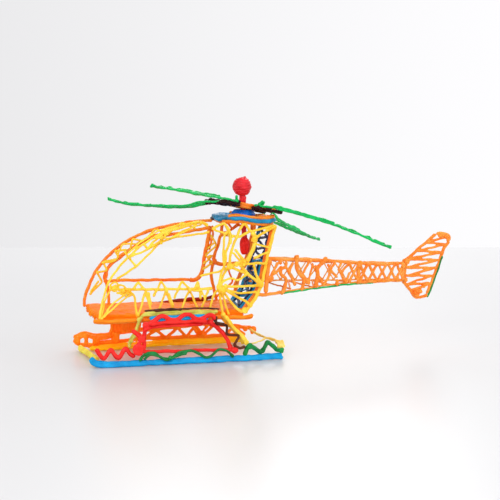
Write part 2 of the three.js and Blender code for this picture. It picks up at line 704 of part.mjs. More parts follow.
function makeNearSkid() {
  const runnerPoints = [[-95.6, 5.4], [-94.6, 2.6], [-91, 1.2], [-66, 1.2], [-20, 1.1], [1.4, 1.2]];
  addPiece(cabin, "near_runner", "blue", runner(runnerPoints, SKID_NEAR_Y, 1.5));

  const frame = [
    ["line", THICK, [[-92.4, 9.6], [-90.6, 5.6], [-88.6, 4.5], [-86, 8.6], [-83.4, 5.4], [-81.6, 4.5],
      [-78.4, 9], [-75.6, 5.4], [-73.4, 4.9]]],
    ["zig", THICK, [[-73.2, 6.4], [-69.4, 8.4], [-68.4, 19.6]]],
    ["line", THICK, [[-69, 19.6], [-56, 20.2], [-44, 20.4], [-35.6, 20.2]]],
    ["line", THICK, [[-36.4, 20.6], [-32, 17], [-27.8, 11.6], [-25.4, 6.4]]],
    ["line", HEAVY, [[-73.6, 7.4], [-60, 6.6], [-40, 6.4], [-23, 6]]],
    ["zig", THICK, [[-75, 18], [-70.2, 13.6]]],
    ["zig", MEDIUM, [[-73.6, 8.4], [-69, 15.4]]],
  ];
  const lumps = [
    [-72.2, 8.4, 3.1],
    [-70.6, 13.4, 1.8],
    [-23.6, 6, 1.9],
    [-68.2, 20.2, 1.7],
  ];
  addPiece(cabin, "near_skid_frame", "red", draw(upright(SKID_NEAR_Y), SKID_THICK, frame, lumps));

  const wave = [
    ["line", THICK, [[-67.6, 20.8], [-65.2, 21.6], [-61.4, 24.4], [-59.2, 24.6], [-56, 22.4],
      [-53.6, 22.2], [-49.2, 24.8], [-46.6, 24.9], [-43.4, 22.4], [-41, 22.3], [-36.8, 24.2],
      [-34.8, 24.2]]],
  ];
  addPiece(cabin, "near_skid_wave", "red", draw(upright(NEAR_FRONT - 0.1), SKID_THICK, wave));

  const band = [
    ["line", THICK, [[-75.6, 11.4], [-73.4, 16.4], [-70.8, 22.4], [-69, 25], [-66, 25.4],
      [-50, 25.4], [-31.8, 24.9]]],
    ["zig", HEAVY, [[-73, 15.6], [-75.8, 11.8], [-76.4, 8.8]]],
  ];
  addPiece(cabin, "near_skid_band", "lime", draw(upright(NEAR_BACK), SKID_THICK, band));

  const strut = [
    ["zig", THICK, [[-30, 24.6], [-26.2, 18.9], [-21.8, 13.6], [-18.8, 9.4]]],
    ["zig", THICK, [[-24.6, 17.2], [-19.4, 12.6], [-16.8, 9.4]]],
    ["zig", HEAVY, [[-18.8, 9.4], [-16.8, 9.4]]],
  ];
  addPiece(cabin, "near_skid_strut", "yellow", draw(upright(NEAR_BACK), SKID_THICK, strut));

  const cap = [["line", FINE, [[-68.4, 26.9], [-62, 27.2], [-48, 27.2], [-38, 27.1], [-31, 26.6]]]];
  addPiece(cabin, "near_skid_top_line", "brown", draw(upright(NEAR_BACK), SKID_THICK, cap));

  const blue = [["line", HEAVY, [[-66.4, 23], [-58, 23.1], [-47, 23.1], [-38, 23]]]];
  addPiece(cabin, "near_skid_blue_strand", "blue", draw(upright(NEAR_BACK), SKID_THICK, blue));

  const brown = [
    ["zig", MEDIUM, [[-33, 23.4], [-33.2, 19.6], [-27.9, 18.8], [-28.2, 14.2], [-21.4, 13.2],
      [-24.6, 8.4], [-21.4, 6.9], [-18.8, 7.9]]],
  ];
  addPiece(cabin, "near_skid_brown_zigzag", "brown", draw(upright(NEAR_FRONT), SKID_THICK, brown));

  const rear = [
    ["zig", THICK, [[-16.7, 7.8], [-19, 3.9]]],
    ["zig", HEAVY, [[-16.2, 8], [-10.2, 4.3], [-6.8, 9.8], [-2.4, 4.9], [0.4, 4.7]]],
  ];
  const rearLumps = [
    [-16.6, 7.8, 1.7],
    [-0.2, 4.8, 1.4],
    [-10.2, 4.7, 1.1],
  ];
  const rearSolid = draw(upright(SKID_NEAR_Y), SKID_THICK, rear, rearLumps);
  addPiece(cabin, "near_skid_rear_zigzag", "darkGreen", rearSolid);

  const wave2 = [
    ["line", MEDIUM, [[-70.6, 4.4], [-67.6, 6.4], [-64.4, 6.4], [-60.6, 4.2], [-56.4, 4.1],
      [-51, 6.3], [-46, 6.6], [-41.6, 5], [-38.6, 4], [-35.4, 4.2], [-31.6, 6.7], [-27.6, 5.4],
      [-23.8, 4]]],
  ];
  addPiece(cabin, "near_runner_wave", "darkGreen", draw(upright(NEAR_FRONT), SKID_THICK, wave2));
}

function makeFarSkid() {
  const points = [[-95.4, 2.6], [-92, 1.3], [-60, 1.2], [-24, 1.2], [-7, 1.2]];
  addPiece(cabin, "far_runner", "yellow", runner(points, SKID_FAR_Y, 1.5));

  const truss = [
    ["line", THICK, [[-100.2, 5.8], [-97, 8.4], [-90, 8.8], [-81, 8.4], [-60.7, 9.4], [-39, 10.8],
      [-27.9, 11], [-12, 9.2], [-4.6, 8.2]]],
    ["line", HEAVY, [[-100.2, 5.6], [-96, 4.9], [-84, 4.7], [-60, 4.5], [-30, 4.5], [-8, 4.7]]],
    ["zig", HEAVY, [[-95.6, 4.4], [-93.8, 8.4]]],
    ["zig", THICK, [[-91, 4.6], [-89.4, 8.4]]],
    ["zig", THICK, [[-81, 4.4], [-76.6, 8.6]]],
    ["zig", HEAVY, [[-68.4, 8.8], [-64, 4.6], [-57.6, 9], [-52, 4.6], [-45.6, 10], [-41.4, 4.6],
      [-35.6, 10.4], [-31.8, 4.8], [-26, 10.6], [-20, 4.8], [-14.4, 9], [-9, 4.8]]],
  ];
  const lumps = [
    [-99, 6, 1.7],
    [-4.8, 8.2, 2.3],
    [-12, 9, 1.5],
    [-86.6, 7, 2.4],
  ];
  addPiece(cabin, "far_skid_truss", "orange", draw(upright(SKID_FAR_Y), SKID_THICK, truss, lumps));

  const web = plate(
    [
      [-81.5, 20.4],
      [-66.2, 20.4],
      [-66.6, 14],
      [-68.2, 8],
      [-70.6, 9.5],
      [-72.8, 12.6],
      [-75, 8.6],
      [-77, 5],
      [-79.4, 8.2],
      [-84, 8.6],
      [-90, 7.6],
      [-89.4, 9.8],
      [-84, 11.4],
      [-81, 14.5],
    ],
    [[-77, 11.4, 0.6, 1.2]],
  );
  const webSolid = put(upright(SKID_FAR_Y - 2.75), SKID_THICK, web);
  addPiece(cabin, "far_front_leg", "orange", webSolid);

  const leg = [
    ["zig", HEAVY, [[-27, 20], [-20.6, 13.6], [-13.6, 6]]],
    ["zig", LIGHT, [[-20, 20], [-19.2, 14.6], [-12, 6.2], [-14, 5.8]]],
    ["zig", LIGHT, [[-20.6, 14], [-18.8, 14.8]]],
  ];
  addPiece(cabin, "far_rear_leg", "yellow", draw(upright(SKID_FAR_Y - 2.6), SKID_THICK, leg));
}

function spaceLine(points, radius) {
  return curved(points.map((p) => new THREE.Vector3(...p)), radius);
}

function makeCrossTies() {
  const front = [
    [-98.2, 20.6, 2.2],
    [-98.2, 14, 1.7],
    [-96.2, 7, 1.7],
    [-94.2, -3, 1.8],
    [-92.8, -11, 1.9],
    [-94.6, -18, 2.6],
    [-96.8, -22.4, 3.8],
  ];
  const second = [
    [-95.6, 6, 1.8],
    [-92.2, 0, 1.3],
    [-90.4, -9, 1.3],
    [-92.6, -12.6, 1.7],
  ];
  const tie = spaceLine(front, THICK).add(spaceLine(second, MEDIUM));
  addPiece(cabin, "front_cross_tie", "yellow", tie);

  const rear = [
    [-7, 20.4, 8.4],
    [-4, 14, 6.6],
    [-1.4, 4, 6.2],
    [1, -6, 6.5],
    [1.8, -14, 6.8],
    [3.2, -20, 5.6],
    [3, -23.4, 4.2],
  ];
  const lower = [
    [-13.6, -2, 5.4],
    [-6, -9, 5.8],
    [0, -12.6, 6.2],
    [1.8, -14.4, 6.6],
  ];
  const rearTie = spaceLine(rear, LIGHT)
    .add(spaceLine(lower, FINE))
    .add(blob(new THREE.Vector3(1.8, -14.6, 6.8), 1.3));
  addPiece(cabin, "rear_cross_tie", "yellow", rearTie);
}

// ---------------------------------------------------------------- rotor

const DEG = Math.PI / 180;

// A blade's compass direction, its length, and its heights over the hub's centre at the stations
// along it, the last of which is its tip.
const BLADES = [
  {
    name: "blade_tail_far",
    clamp: "clamp_tail_far",
    compass: 44,
    length: 86.8,
    heights: [1.1, 1.1, -1.4, -3.5, -5.1, -6.4, -7.6, -8.4],
  },
  {
    name: "blade_nose_far",
    clamp: "clamp_nose_far",
    compass: 140,
    length: 85,
    heights: [1.1, 1.1, -1.3, -4.4, -6.2, -7.6, -9, -8.3],
  },
  {
    name: "blade_nose_near",
    clamp: "clamp_nose_near",
    compass: 228,
    length: 84.5,
    heights: [1.1, 1.1, 0.7, 0.4, -0.3, -0.6, -1.4, -2.5],
  },
  {
    name: "blade_tail_near",
    clamp: "clamp_tail_near",
    compass: 315,
    length: 86.8,
    heights: [1.1, 1.1, 0.6, 0.3, -1.1, -2.9, -5.9, -9.4],
  },
];
const BLADE_ROOT = 7.6;
const BLADE_STATIONS = [BLADE_ROOT, 22.8, 27, 32, 44, 58, 72];
const BLADE_LACING = [BLADE_ROOT, 12.6, 17.7, 22.8, 27, 32, 38, 44, 51, 58, 65, 72, 79];
const BLADE_WOBBLE = 0.25; // every other station of a blade's rims stands out by this
const BLADE_WIDE = 3.4; // half of the widest chord
const BLADE_ROOT_SHARE = 0.5; // of the widest chord, at the root
const BLADE_SWELL = 3; // how fast a blade widens from its root
const BLADE_TAPER = 3.2; // how fast it narrows to its tip
const BLADE_TIP_SHARE = 0.02;
const CLAMP_START = 6.9;
const CLAMP_END = 20.5;
const CLAMP_ROWS = 5;
const CLAMP_HALF = 3.4;
const CLAMP_SPLAY = 0.8; // how much wider a clamp's rims stand at their far end
const CLAMP_Z = -0.45;
const CLAMP_THICK = 1.3;
const BLADE_THICK = 1.2;

function makeBlade({ name, clamp, compass, length, heights }) {
  const turn = compass - ROTOR_LEAN / DEG;
  const stations = [...BLADE_STATIONS, length];
  const heightAt = (r) => {
    let i = 0;
    while (i < stations.length - 2 && r > stations[i + 1]) {
      i += 1;
    }
    return THREE.MathUtils.mapLinear(r, stations[i], stations[i + 1], heights[i], heights[i + 1]);
  };
  const halfAt = (r) => {
    const along = (r - BLADE_ROOT) / (length - BLADE_ROOT);
    const swelling = BLADE_ROOT_SHARE + along * BLADE_SWELL;
    const tapering = BLADE_TIP_SHARE + (1 - along) * BLADE_TAPER;
    return BLADE_WIDE * Math.min(1, swelling, tapering);
  };
  const rim = (side) =>
    stations.map((r, i) => [r, side * (halfAt(r) + (i % 2 ? BLADE_WOBBLE : 0))]);
  const lacing = BLADE_LACING.map((r, i) => [r, (i % 2 ? 1 : -1) * halfAt(r)]);
  const strokes = [
    ["line", MEDIUM, rim(-1)],
    ["line", MEDIUM, rim(1)],
    ["zig", LIGHT, lacing],
    ["zig", MEDIUM, [[BLADE_ROOT, -halfAt(BLADE_ROOT)], [BLADE_ROOT, halfAt(BLADE_ROOT)]]],
  ];
  const bladePlace = (r, side, w) => new THREE.Vector3(r, side, heightAt(r) + w);
  const blade = draw(bladePlace, BLADE_THICK, strokes);
  addPiece(rotor, name, "green", blade.rotate([0, 0, turn]));

  const rows = [];
  for (let i = 0; i <= CLAMP_ROWS; i++) {
    const r = THREE.MathUtils.lerp(CLAMP_START, CLAMP_END, i / CLAMP_ROWS);
    rows.push([r, (i % 2 ? 1 : -1) * CLAMP_HALF]);
  }
  const base = draw(level(CLAMP_Z), CLAMP_THICK, [
    ["zig", HEAVY, rows],
    ["zig", HEAVY, [[CLAMP_START, -CLAMP_HALF + CLAMP_SPLAY], [CLAMP_END, -CLAMP_HALF]]],
    ["zig", HEAVY, [[CLAMP_START, CLAMP_HALF - CLAMP_SPLAY], [CLAMP_END, CLAMP_HALF]]],
  ]);
  addPiece(rotor, clamp, "maroon", base.rotate([0, 0, turn]));
}

function makeHub() {
  const disc = new THREE.LatheGeometry(
    [
      new THREE.Vector2(HUB_HOLE, -HUB_THICK / 2),
      new THREE.Vector2(HUB_RADIUS - 0.5, -HUB_THICK / 2),
      new THREE.Vector2(HUB_RADIUS, 0),
      new THREE.Vector2(HUB_RADIUS - 0.5, HUB_THICK / 2),
      new THREE.Vector2(HUB_HOLE, HUB_THICK / 2),
      new THREE.Vector2(HUB_HOLE, -HUB_THICK / 2),
    ],
    20,
  );
  disc.rotateX(Math.PI / 2);
  addPiece(rotor, "hub_plate", "orange", solidOf(disc));
}

function makeRotor() {
  makeHub();
  BLADES.forEach(makeBlade);
  rotor.position.copy(HUB);
  const axis = new THREE.Vector3(-Math.sin(ROTOR_LEAN), Math.cos(ROTOR_LEAN), 0);
  const tilt = new THREE.Quaternion().setFromAxisAngle(axis, ROTOR_TILT);
  const heading = new THREE.Quaternion().setFromAxisAngle(new THREE.Vector3(0, 0, 1), ROTOR_LEAN);
  rotor.quaternion.copy(tilt.multiply(heading));
}

// ---------------------------------------------------------------- pin

// Heights above the hub's centre.
const SHAFT_BOTTOM = -17.3;
const SHAFT_TOP = 4.8;
const KNOB_Z = 10.1;
const STOP_Z = -21.2;
const JOIN_GAP = 0.3;

function makePin() {
  const shaft = new THREE.CylinderGeometry(PIN_RADIUS, PIN_RADIUS, SHAFT_TOP - SHAFT_BOTTOM, 12);
  shaft.rotateX(Math.PI / 2);
  shaft.translate(0, 0, (SHAFT_TOP + SHAFT_BOTTOM) / 2);
  addPiece(pin, "pin_shaft", "red", solidOf(shaft));

  const knob = new THREE.LatheGeometry(
    [
      new THREE.Vector2(0, SHAFT_TOP + JOIN_GAP),
      new THREE.Vector2(2.6, SHAFT_TOP + JOIN_GAP),
      new THREE.Vector2(4.3, KNOB_Z - 2.6),
      new THREE.Vector2(5, KNOB_Z),
      new THREE.Vector2(4.3, KNOB_Z + 2.4),
      new THREE.Vector2(2.4, KNOB_Z + 4.2),
      new THREE.Vector2(0, KNOB_Z + 4.9),
    ],
    16,
  );
  knob.rotateX(Math.PI / 2);
  addPiece(pin, "pin_knob", "red", solidOf(knob));

  const stop = new THREE.LatheGeometry(
    [
      new THREE.Vector2(0, STOP_Z - 4.2),
      new THREE.Vector2(2, STOP_Z - 3.4),
      new THREE.Vector2(2.8, STOP_Z - 1),
      new THREE.Vector2(2.6, STOP_Z + 1.4),
      new THREE.Vector2(1.6, SHAFT_BOTTOM - JOIN_GAP),
      new THREE.Vector2(0, SHAFT_BOTTOM - JOIN_GAP),
    ],
    14,
  );
  stop.rotateX(Math.PI / 2);
  addPiece(pin, "pin_stop", "red", solidOf(stop));
  pin.position.copy(HUB);
  pin.rotation.y = -PIN_LEAN;
}

makeFloor();
makeNearSide();
makeFarSide();
makeRearWall();
makeRoof();
makeBoom();
makeBoomLacing();
makeFin();
makeNearSkid();
makeFarSkid();
makeCrossTies();
makeRotor();
makePin();

// The origin is under the middle of the whole model, on the ground.
helicopter.updateMatrixWorld(true);
const whole = new THREE.Box3().setFromObject(helicopter, true);
const middle = whole.getCenter(new THREE.Vector3());
helicopter.position.set(-middle.x, -middle.y, -whole.min.z);

export default helicopter;
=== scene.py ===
"""The looks of a model helicopter drawn freehand in strands of coloured plastic.

Every strand is laid in the order a hand would lay it, climbs over the strands under it, wavers a
little, and is then fused with its neighbours into one body, as hot plastic does. Drawings are in
millimetres in the model's own coordinates; the frame says where those lie.
"""
import json
import math

import bpy
import numpy as np
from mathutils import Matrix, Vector


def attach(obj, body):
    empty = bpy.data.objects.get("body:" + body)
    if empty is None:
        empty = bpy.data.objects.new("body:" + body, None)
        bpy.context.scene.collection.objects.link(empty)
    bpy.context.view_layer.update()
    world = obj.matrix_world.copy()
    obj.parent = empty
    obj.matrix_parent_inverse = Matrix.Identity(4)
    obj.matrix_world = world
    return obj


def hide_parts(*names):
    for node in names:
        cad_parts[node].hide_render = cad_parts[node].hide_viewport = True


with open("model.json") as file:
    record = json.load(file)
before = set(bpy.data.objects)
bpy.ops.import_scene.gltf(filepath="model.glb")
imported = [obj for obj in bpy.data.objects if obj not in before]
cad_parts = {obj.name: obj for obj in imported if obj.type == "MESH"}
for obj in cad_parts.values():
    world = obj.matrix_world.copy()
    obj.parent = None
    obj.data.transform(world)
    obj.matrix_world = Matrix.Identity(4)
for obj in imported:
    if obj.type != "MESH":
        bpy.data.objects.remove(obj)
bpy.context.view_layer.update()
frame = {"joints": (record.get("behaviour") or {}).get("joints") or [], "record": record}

MM = 0.001

# ---------------------------------------------------------------- sizes, in millimetres

THREAD = 0.4
FINE = 0.49
LIGHT = 0.6
MEDIUM = 0.71
HEAVY = 0.88
THICK = 1.12

FLOOR_Z = 22.6
SIDE_HALF = 20.8
SIDE_LEAN = 0.08
SIDE_Z = 24.0
LAYER = 1.15  # layers are welded, so they lie closer than the frame's gaps

BOOM_X = -5.0
BOOM_LENGTH = 79.0
BOOM_HALF = 18.2
BOOM_END_HALF = 1.7

SKID_NEAR_Y = -24.6
SKID_FAR_Y = 23.0
SKID_LAYER = 1.5

HUB = np.array((-14.2, 0.0, 76.6))  # the hub's centre in the drawings
ROOF_FRONT = -27.5
ROOF_REAR = -0.5
ROOF_HALF = 17.0

STEP = 0.6  # spacing of a strand's stations
RING = 10  # points round a strand
VOXEL = 0.24  # grain of the fused surface
WANDER_WAVES = (6, 11, 19)  # how long a hand's wanderings are
OVERLAP = 0.72  # how high a strand rides on one it crosses, as a share of both radii
HIGHEST = 2.4  # the most that a strand climbs
TIP = 0.12  # how far a strand's end stands out past its last ring

JOINTS = {joint["name"]: joint for joint in frame["joints"]}
OFFSET = np.array(JOINTS["rotor_spin"]["pos_m"]) / MM - HUB  # from the drawings to the frame

BODY_OF = {
    node: body
    for body, nodes in frame["record"]["behaviour"]["bodies"].items()
    for node in nodes
}
SLOT_OF = {row["node"]: row["material_slot"] for row in frame["record"]["subparts"]}

# ---------------------------------------------------------------- strands


def centripetal(points, spacing):
    """Points close together along a smooth curve through the given ones."""
    p = np.array(points, float)
    p = np.vstack([2 * p[0] - p[1], p, 2 * p[-1] - p[-2]])
    knots = np.concatenate([[0], np.cumsum(np.sqrt(np.linalg.norm(np.diff(p, axis=0), axis=1)))])
    out = []
    for i in range(1, len(p) - 2):
        t0, t1, t2, t3 = knots[i - 1 : i + 3]
        count = max(2, int(np.linalg.norm(p[i + 1] - p[i]) / spacing))
        t = np.linspace(t1, t2, count, endpoint=False)[:, None]
        a1 = (t1 - t) / (t1 - t0) * p[i - 1] + (t - t0) / (t1 - t0) * p[i]
        a2 = (t2 - t) / (t2 - t1) * p[i] + (t - t1) / (t2 - t1) * p[i + 1]
        a3 = (t3 - t) / (t3 - t2) * p[i + 1] + (t - t2) / (t3 - t2) * p[i + 2]
        b1 = (t2 - t) / (t2 - t0) * a1 + (t - t0) / (t2 - t0) * a2
        b2 = (t3 - t) / (t3 - t1) * a2 + (t - t1) / (t3 - t1) * a3
        out.append((t2 - t) / (t2 - t1) * b1 + (t - t1) / (t2 - t1) * b2)
    out.append(p[-2][None, :])
    return np.vstack(out)


def resampled(path, spacing):
    """The same path with its stations evenly spaced."""
    run = np.concatenate([[0], np.cumsum(np.linalg.norm(np.diff(path, axis=0), axis=1))])
    count = max(3, int(run[-1] / spacing) + 1)
    at = np.linspace(0, run[-1], count)
    return np.stack([np.interp(at, run, path[:, k]) for k in range(path.shape[1])], axis=1)


def softened(values, reach):
    """Values smoothed along a path, its two ends kept."""
    if len(values) < 4 or reach < 0.5:
        return values
    half = int(3 * reach)
    kernel = np.exp(-0.5 * (np.arange(-half, half + 1) / reach) ** 2)
    kernel /= kernel.sum()
    columns = values.reshape(len(values), -1)
    first, last = columns[0], columns[-1]
    if len(columns) > half:
        before = 2 * first - columns[1 : half + 1][::-1]
        after = 2 * last - columns[-half - 1 : -1][::-1]
    else:
        before, after = (np.repeat(end[None], half, 0) for end in (first, last))
    padded = np.vstack([before, columns, after])
    out = np.stack([np.convolve(c, kernel, mode="valid") for c in padded.T], axis=1)
    return out.reshape(values.shape)


def waver(count, rng, waves, size):
    """A slow random wandering, as a hand makes it."""
    s = np.arange(count) * STEP
    total = np.zeros(count)
    for wave in waves:
        length = wave * rng.uniform(0.8, 1.25)
        total += np.sin(2 * np.pi * s / length + rng.uniform(0, 2 * np.pi))
    return size * total / math.sqrt(len(waves))


class Weave:
    """The strands of one piece, laid one after another."""

    def __init__(self, name, place):
        self.name = name
        self.place = place
        self.rng = np.random.RandomState(sum(ord(c) * (i + 7) for i, c in enumerate(name)) % 99991)
        self.verts = []
        self.faces = []
        self.base = 0
        self.clear()

    def clear(self):
        """Forgets what has been laid, so that the next strand doesn't climb over it."""
        self.laid = np.zeros((0, 4))

    def flat_path(self, kind, points):
        """A smooth line through the points, or a zigzag with softened corners."""
        if kind == "line":
            return resampled(centripetal(points, STEP / 2), STEP)
        return softened(resampled(np.array(points, float), STEP), 0.8)

    def wander(self, count, size):
        """A wandering in all three directions."""
        return np.stack([waver(count, self.rng, WANDER_WAVES, size) for _ in range(3)], axis=1)

    def climb(self, path, radius):
        """How far each station has to rise to pass over what lies under it."""
        if len(self.laid) == 0:
            return np.zeros(len(path))
        gap = np.linalg.norm(path[:, None, :] - self.laid[None, :, :2], axis=2)
        reach = radius + self.laid[None, :, 3]
        near = np.clip(1 - (gap / reach) ** 2, 0, None)
        rise = self.laid[None, :, 2] + OVERLAP * reach * np.sqrt(near)
        rise = np.where(gap < reach, rise, 0).max(axis=1)
        return np.clip(softened(np.clip(rise, 0, HIGHEST), 1.6), 0, HIGHEST)

    def lay(self, kind, radius, points, lift=0.0):
        """A strand drawn flat on the piece's own surface, over what has been laid."""
        path = self.flat_path(kind, points)
        rise = self.climb(path, radius) + lift
        own = np.column_stack([path, rise, np.full(len(path), radius)])
        wander = self.wander(len(path), 0.13)
        fade = np.minimum(1, np.minimum(np.arange(len(path)), np.arange(len(path))[::-1]) / 4)
        wander *= fade[:, None]
        local = np.column_stack([path, rise]) + wander
        self.laid = np.vstack([self.laid, own])
        self.tube(self.place(local[:, 0], local[:, 1], local[:, 2]), radius)

    def space(self, radius, points, smooth=True):
        """A strand through points in space."""
        path = centripetal(points, STEP / 2) if smooth else np.array(points, float)
        path = resampled(path, STEP)
        self.tube(path + self.wander(len(path), 0.1), radius)

    def lump(self, u, v, radius, lift=0.0):
        """A knot of strand laid round and round on the spot."""
        turns = max(2, int(radius / 0.55))
        points = []
        for i in range(turns * 7):
            turn = i * 2 * np.pi / 7 + self.rng.uniform(-0.2, 0.2)
            reach = max(0.15, radius - 0.5) * (1 - 0.75 * i / (turns * 7))
            points.append((u + reach * math.cos(turn), v + reach * math.sin(turn)))
        self.lay("line", 0.62, points, lift)

    def tube(self, path, radius):
        """A closed tube along a path, uneven in width, with rounded and slightly swollen ends."""
        count = len(path)
        along = np.gradient(path, axis=0)
        along /= np.linalg.norm(along, axis=1)[:, None] + 1e-12
        side = np.cross(along[0], (0.13, 0.37, 0.92))
        side /= np.linalg.norm(side)
        width = 1 + waver(count, self.rng, (2.6, 5.5), 0.045) + waver(count, self.rng, (14, 23), 0.05)
        ends = np.minimum(np.arange(count), np.arange(count)[::-1]) * STEP
        bulge = self.rng.uniform(0.0, 0.22)
        width += bulge * np.exp(-((ends - 0.8) ** 2) / 1.2)
        cap = np.clip(1 - (ends / radius), 0, 1)
        width *= np.sqrt(np.clip(1 - cap**2, 0.02, 1))
        turn = np.linspace(0, 2 * np.pi, RING, endpoint=False)
        rings = []
        for i in range(count):
            side = side - along[i] * np.dot(side, along[i])
            side /= np.linalg.norm(side)
            up = np.cross(along[i], side)
            spokes = np.cos(turn)[:, None] * side + np.sin(turn)[:, None] * up
            rings.append(path[i] + spokes * radius * width[i])
        first, last = path[0] - along[0] * TIP, path[-1] + along[-1] * TIP
        self.verts.append(np.vstack([*rings, first, last]))
        for i in range(count - 1):
            a = self.base + i * RING
            for k in range(RING):
                n = (k + 1) % RING
                self.faces.append((a + k, a + n, a + RING + n, a + RING + k))
        tip, tail = self.base + count * RING, self.base + count * RING + 1
        end = self.base + (count - 1) * RING
        for k in range(RING):
            n = (k + 1) % RING
            self.faces.append((tip, self.base + n, self.base + k))
            self.faces.append((tail, end + k, end + n))
        self.base += count * RING + 2


def fused(obj, voxel=VOXEL, smooth=4):
    """Melts the crossing strands of a piece into one closed surface."""
    remesh = obj.modifiers.new("fuse", "REMESH")
    remesh.mode = "VOXEL"
    remesh.voxel_size = voxel * MM
    remesh.use_smooth_shade = True
    soft = obj.modifiers.new("soften", "SMOOTH")
    soft.factor = 0.5
    soft.iterations = smooth
    depsgraph = bpy.context.evaluated_depsgraph_get()
    mesh = bpy.data.meshes.new_from_object(obj.evaluated_get(depsgraph))
    obj.modifiers.clear()
    obj.data = mesh
    return obj


# ---------------------------------------------------------------- materials


def linear(code):
    """An sRGB hex colour as linear red, green and blue."""
    parts = [int(code[i : i + 2], 16) / 255 for i in (0, 2, 4)]
    return [c / 12.92 if c <= 0.04045 else ((c + 0.055) / 1.055) ** 2.4 for c in parts] + [1]


# Each plastic's colour, its shade where it is thick, how rough it is, how much light it lets in,
# and how strongly its surface shines.
PLASTICS = {
    "orange": ("F29028", "F67A18", 0.4, 0.5, 0.25),
    "yellow": ("FDD54A", "F8BC28", 0.4, 0.6, 0.25),
    "red": ("FA3028", "E01C1A", 0.4, 0.4, 0.25),
    "sky_blue": ("00A8E4", "008ECC", 0.36, 0.2, 0.25),
    "teal": ("1C98CC", "107098", 0.36, 0.2, 0.25),
    "navy": ("0A3474", "041C46", 0.36, 0.05, 0.25),
    "green": ("0CBE5F", "06A04C", 0.38, 0.4, 0.25),
    "dark_green": ("129244", "086A2E", 0.36, 0.2, 0.28),
    "lime": ("DCD866", "B4B440", 0.4, 0.4, 0.28),
    "brown": ("63301A", "36160C", 0.4, 0.1, 0.22),
    "maroon": ("330E0E", "170404", 0.42, 0.05, 0.2),
    "wine": ("A8200F", "7C1008", 0.4, 0.2, 0.25),
}

# Pieces whose plastic is drawn thinner or thicker than the rest of its colour, and the far skid's pieces,
# whose shades are painted brighter to lift the shade they sit in under the cabin: the two shades, how much
# light it lets in, how strongly it shines, and how strongly it glows by itself, a painted glow in place of
# the light that real plastic carries, which also brightens pieces that lie in shade.
TINTS = {
    "boom_near_face": ("F29C40", "F08222", 0.6, 0.25, 0.0),
    "boom_far_face": ("F4AC5C", "F29232", 0.6, 0.25, 0.0),
    "tail_fin": ("F29A3A", "F07E1C", 0.6, 0.25, 0.0),
    # The far skid lies in the cabin's shade: its pieces' shades are painted brighter and given a painted
    # glow.
    "far_skid_truss": ("FF8A1C", "FF760C", 0.6, 0.15, 0.16),
    "far_front_leg": ("FF8A1C", "FF740C", 0.6, 0.15, 0.2),
    "far_runner": ("FFC81E", "FFB408", 0.5, 0.15, 0.16),
    "far_rear_leg": ("FFCE3C", "FFBC20", 0.5, 0.2, 0.1),
    "floor_pan": ("FF8A10", "FA7406", 0.2, 0.06, 0.0),
    "floor_near_rim": ("FA8E20", "F87A10", 0.3, 0.12, 0.05),
    "roof_collar": ("0870D8", "063C90", 0.1, 0.3, 0.02),
    "pin_knob": ("E62A34", "C41820", 0.3, 0.25, 0.0),
    "pin_shaft": ("E62A34", "C41820", 0.3, 0.25, 0.0),
    "front_cross_tie": ("EEE04C", "DCC634", 0.5, 0.2, 0.1),
    "rear_cross_tie": ("F6DC70", "ECC040", 0.5, 0.2, 0.05),
}


# Scales of the plastic's unevenness: cloudy shade, patches of gloss, and ripples along a strand.
CLOUD_SCALE = 130
GRAIN_SCALE = 620
RIPPLE_SCALE = 1500
RIPPLE_DEPTH = 0.00012
CLEAR_GLOW = 0.35  # plastic that lets in more light than this scatters it further
SCATTER_FAR = 0.0025
SCATTER_NEAR = 0.0012


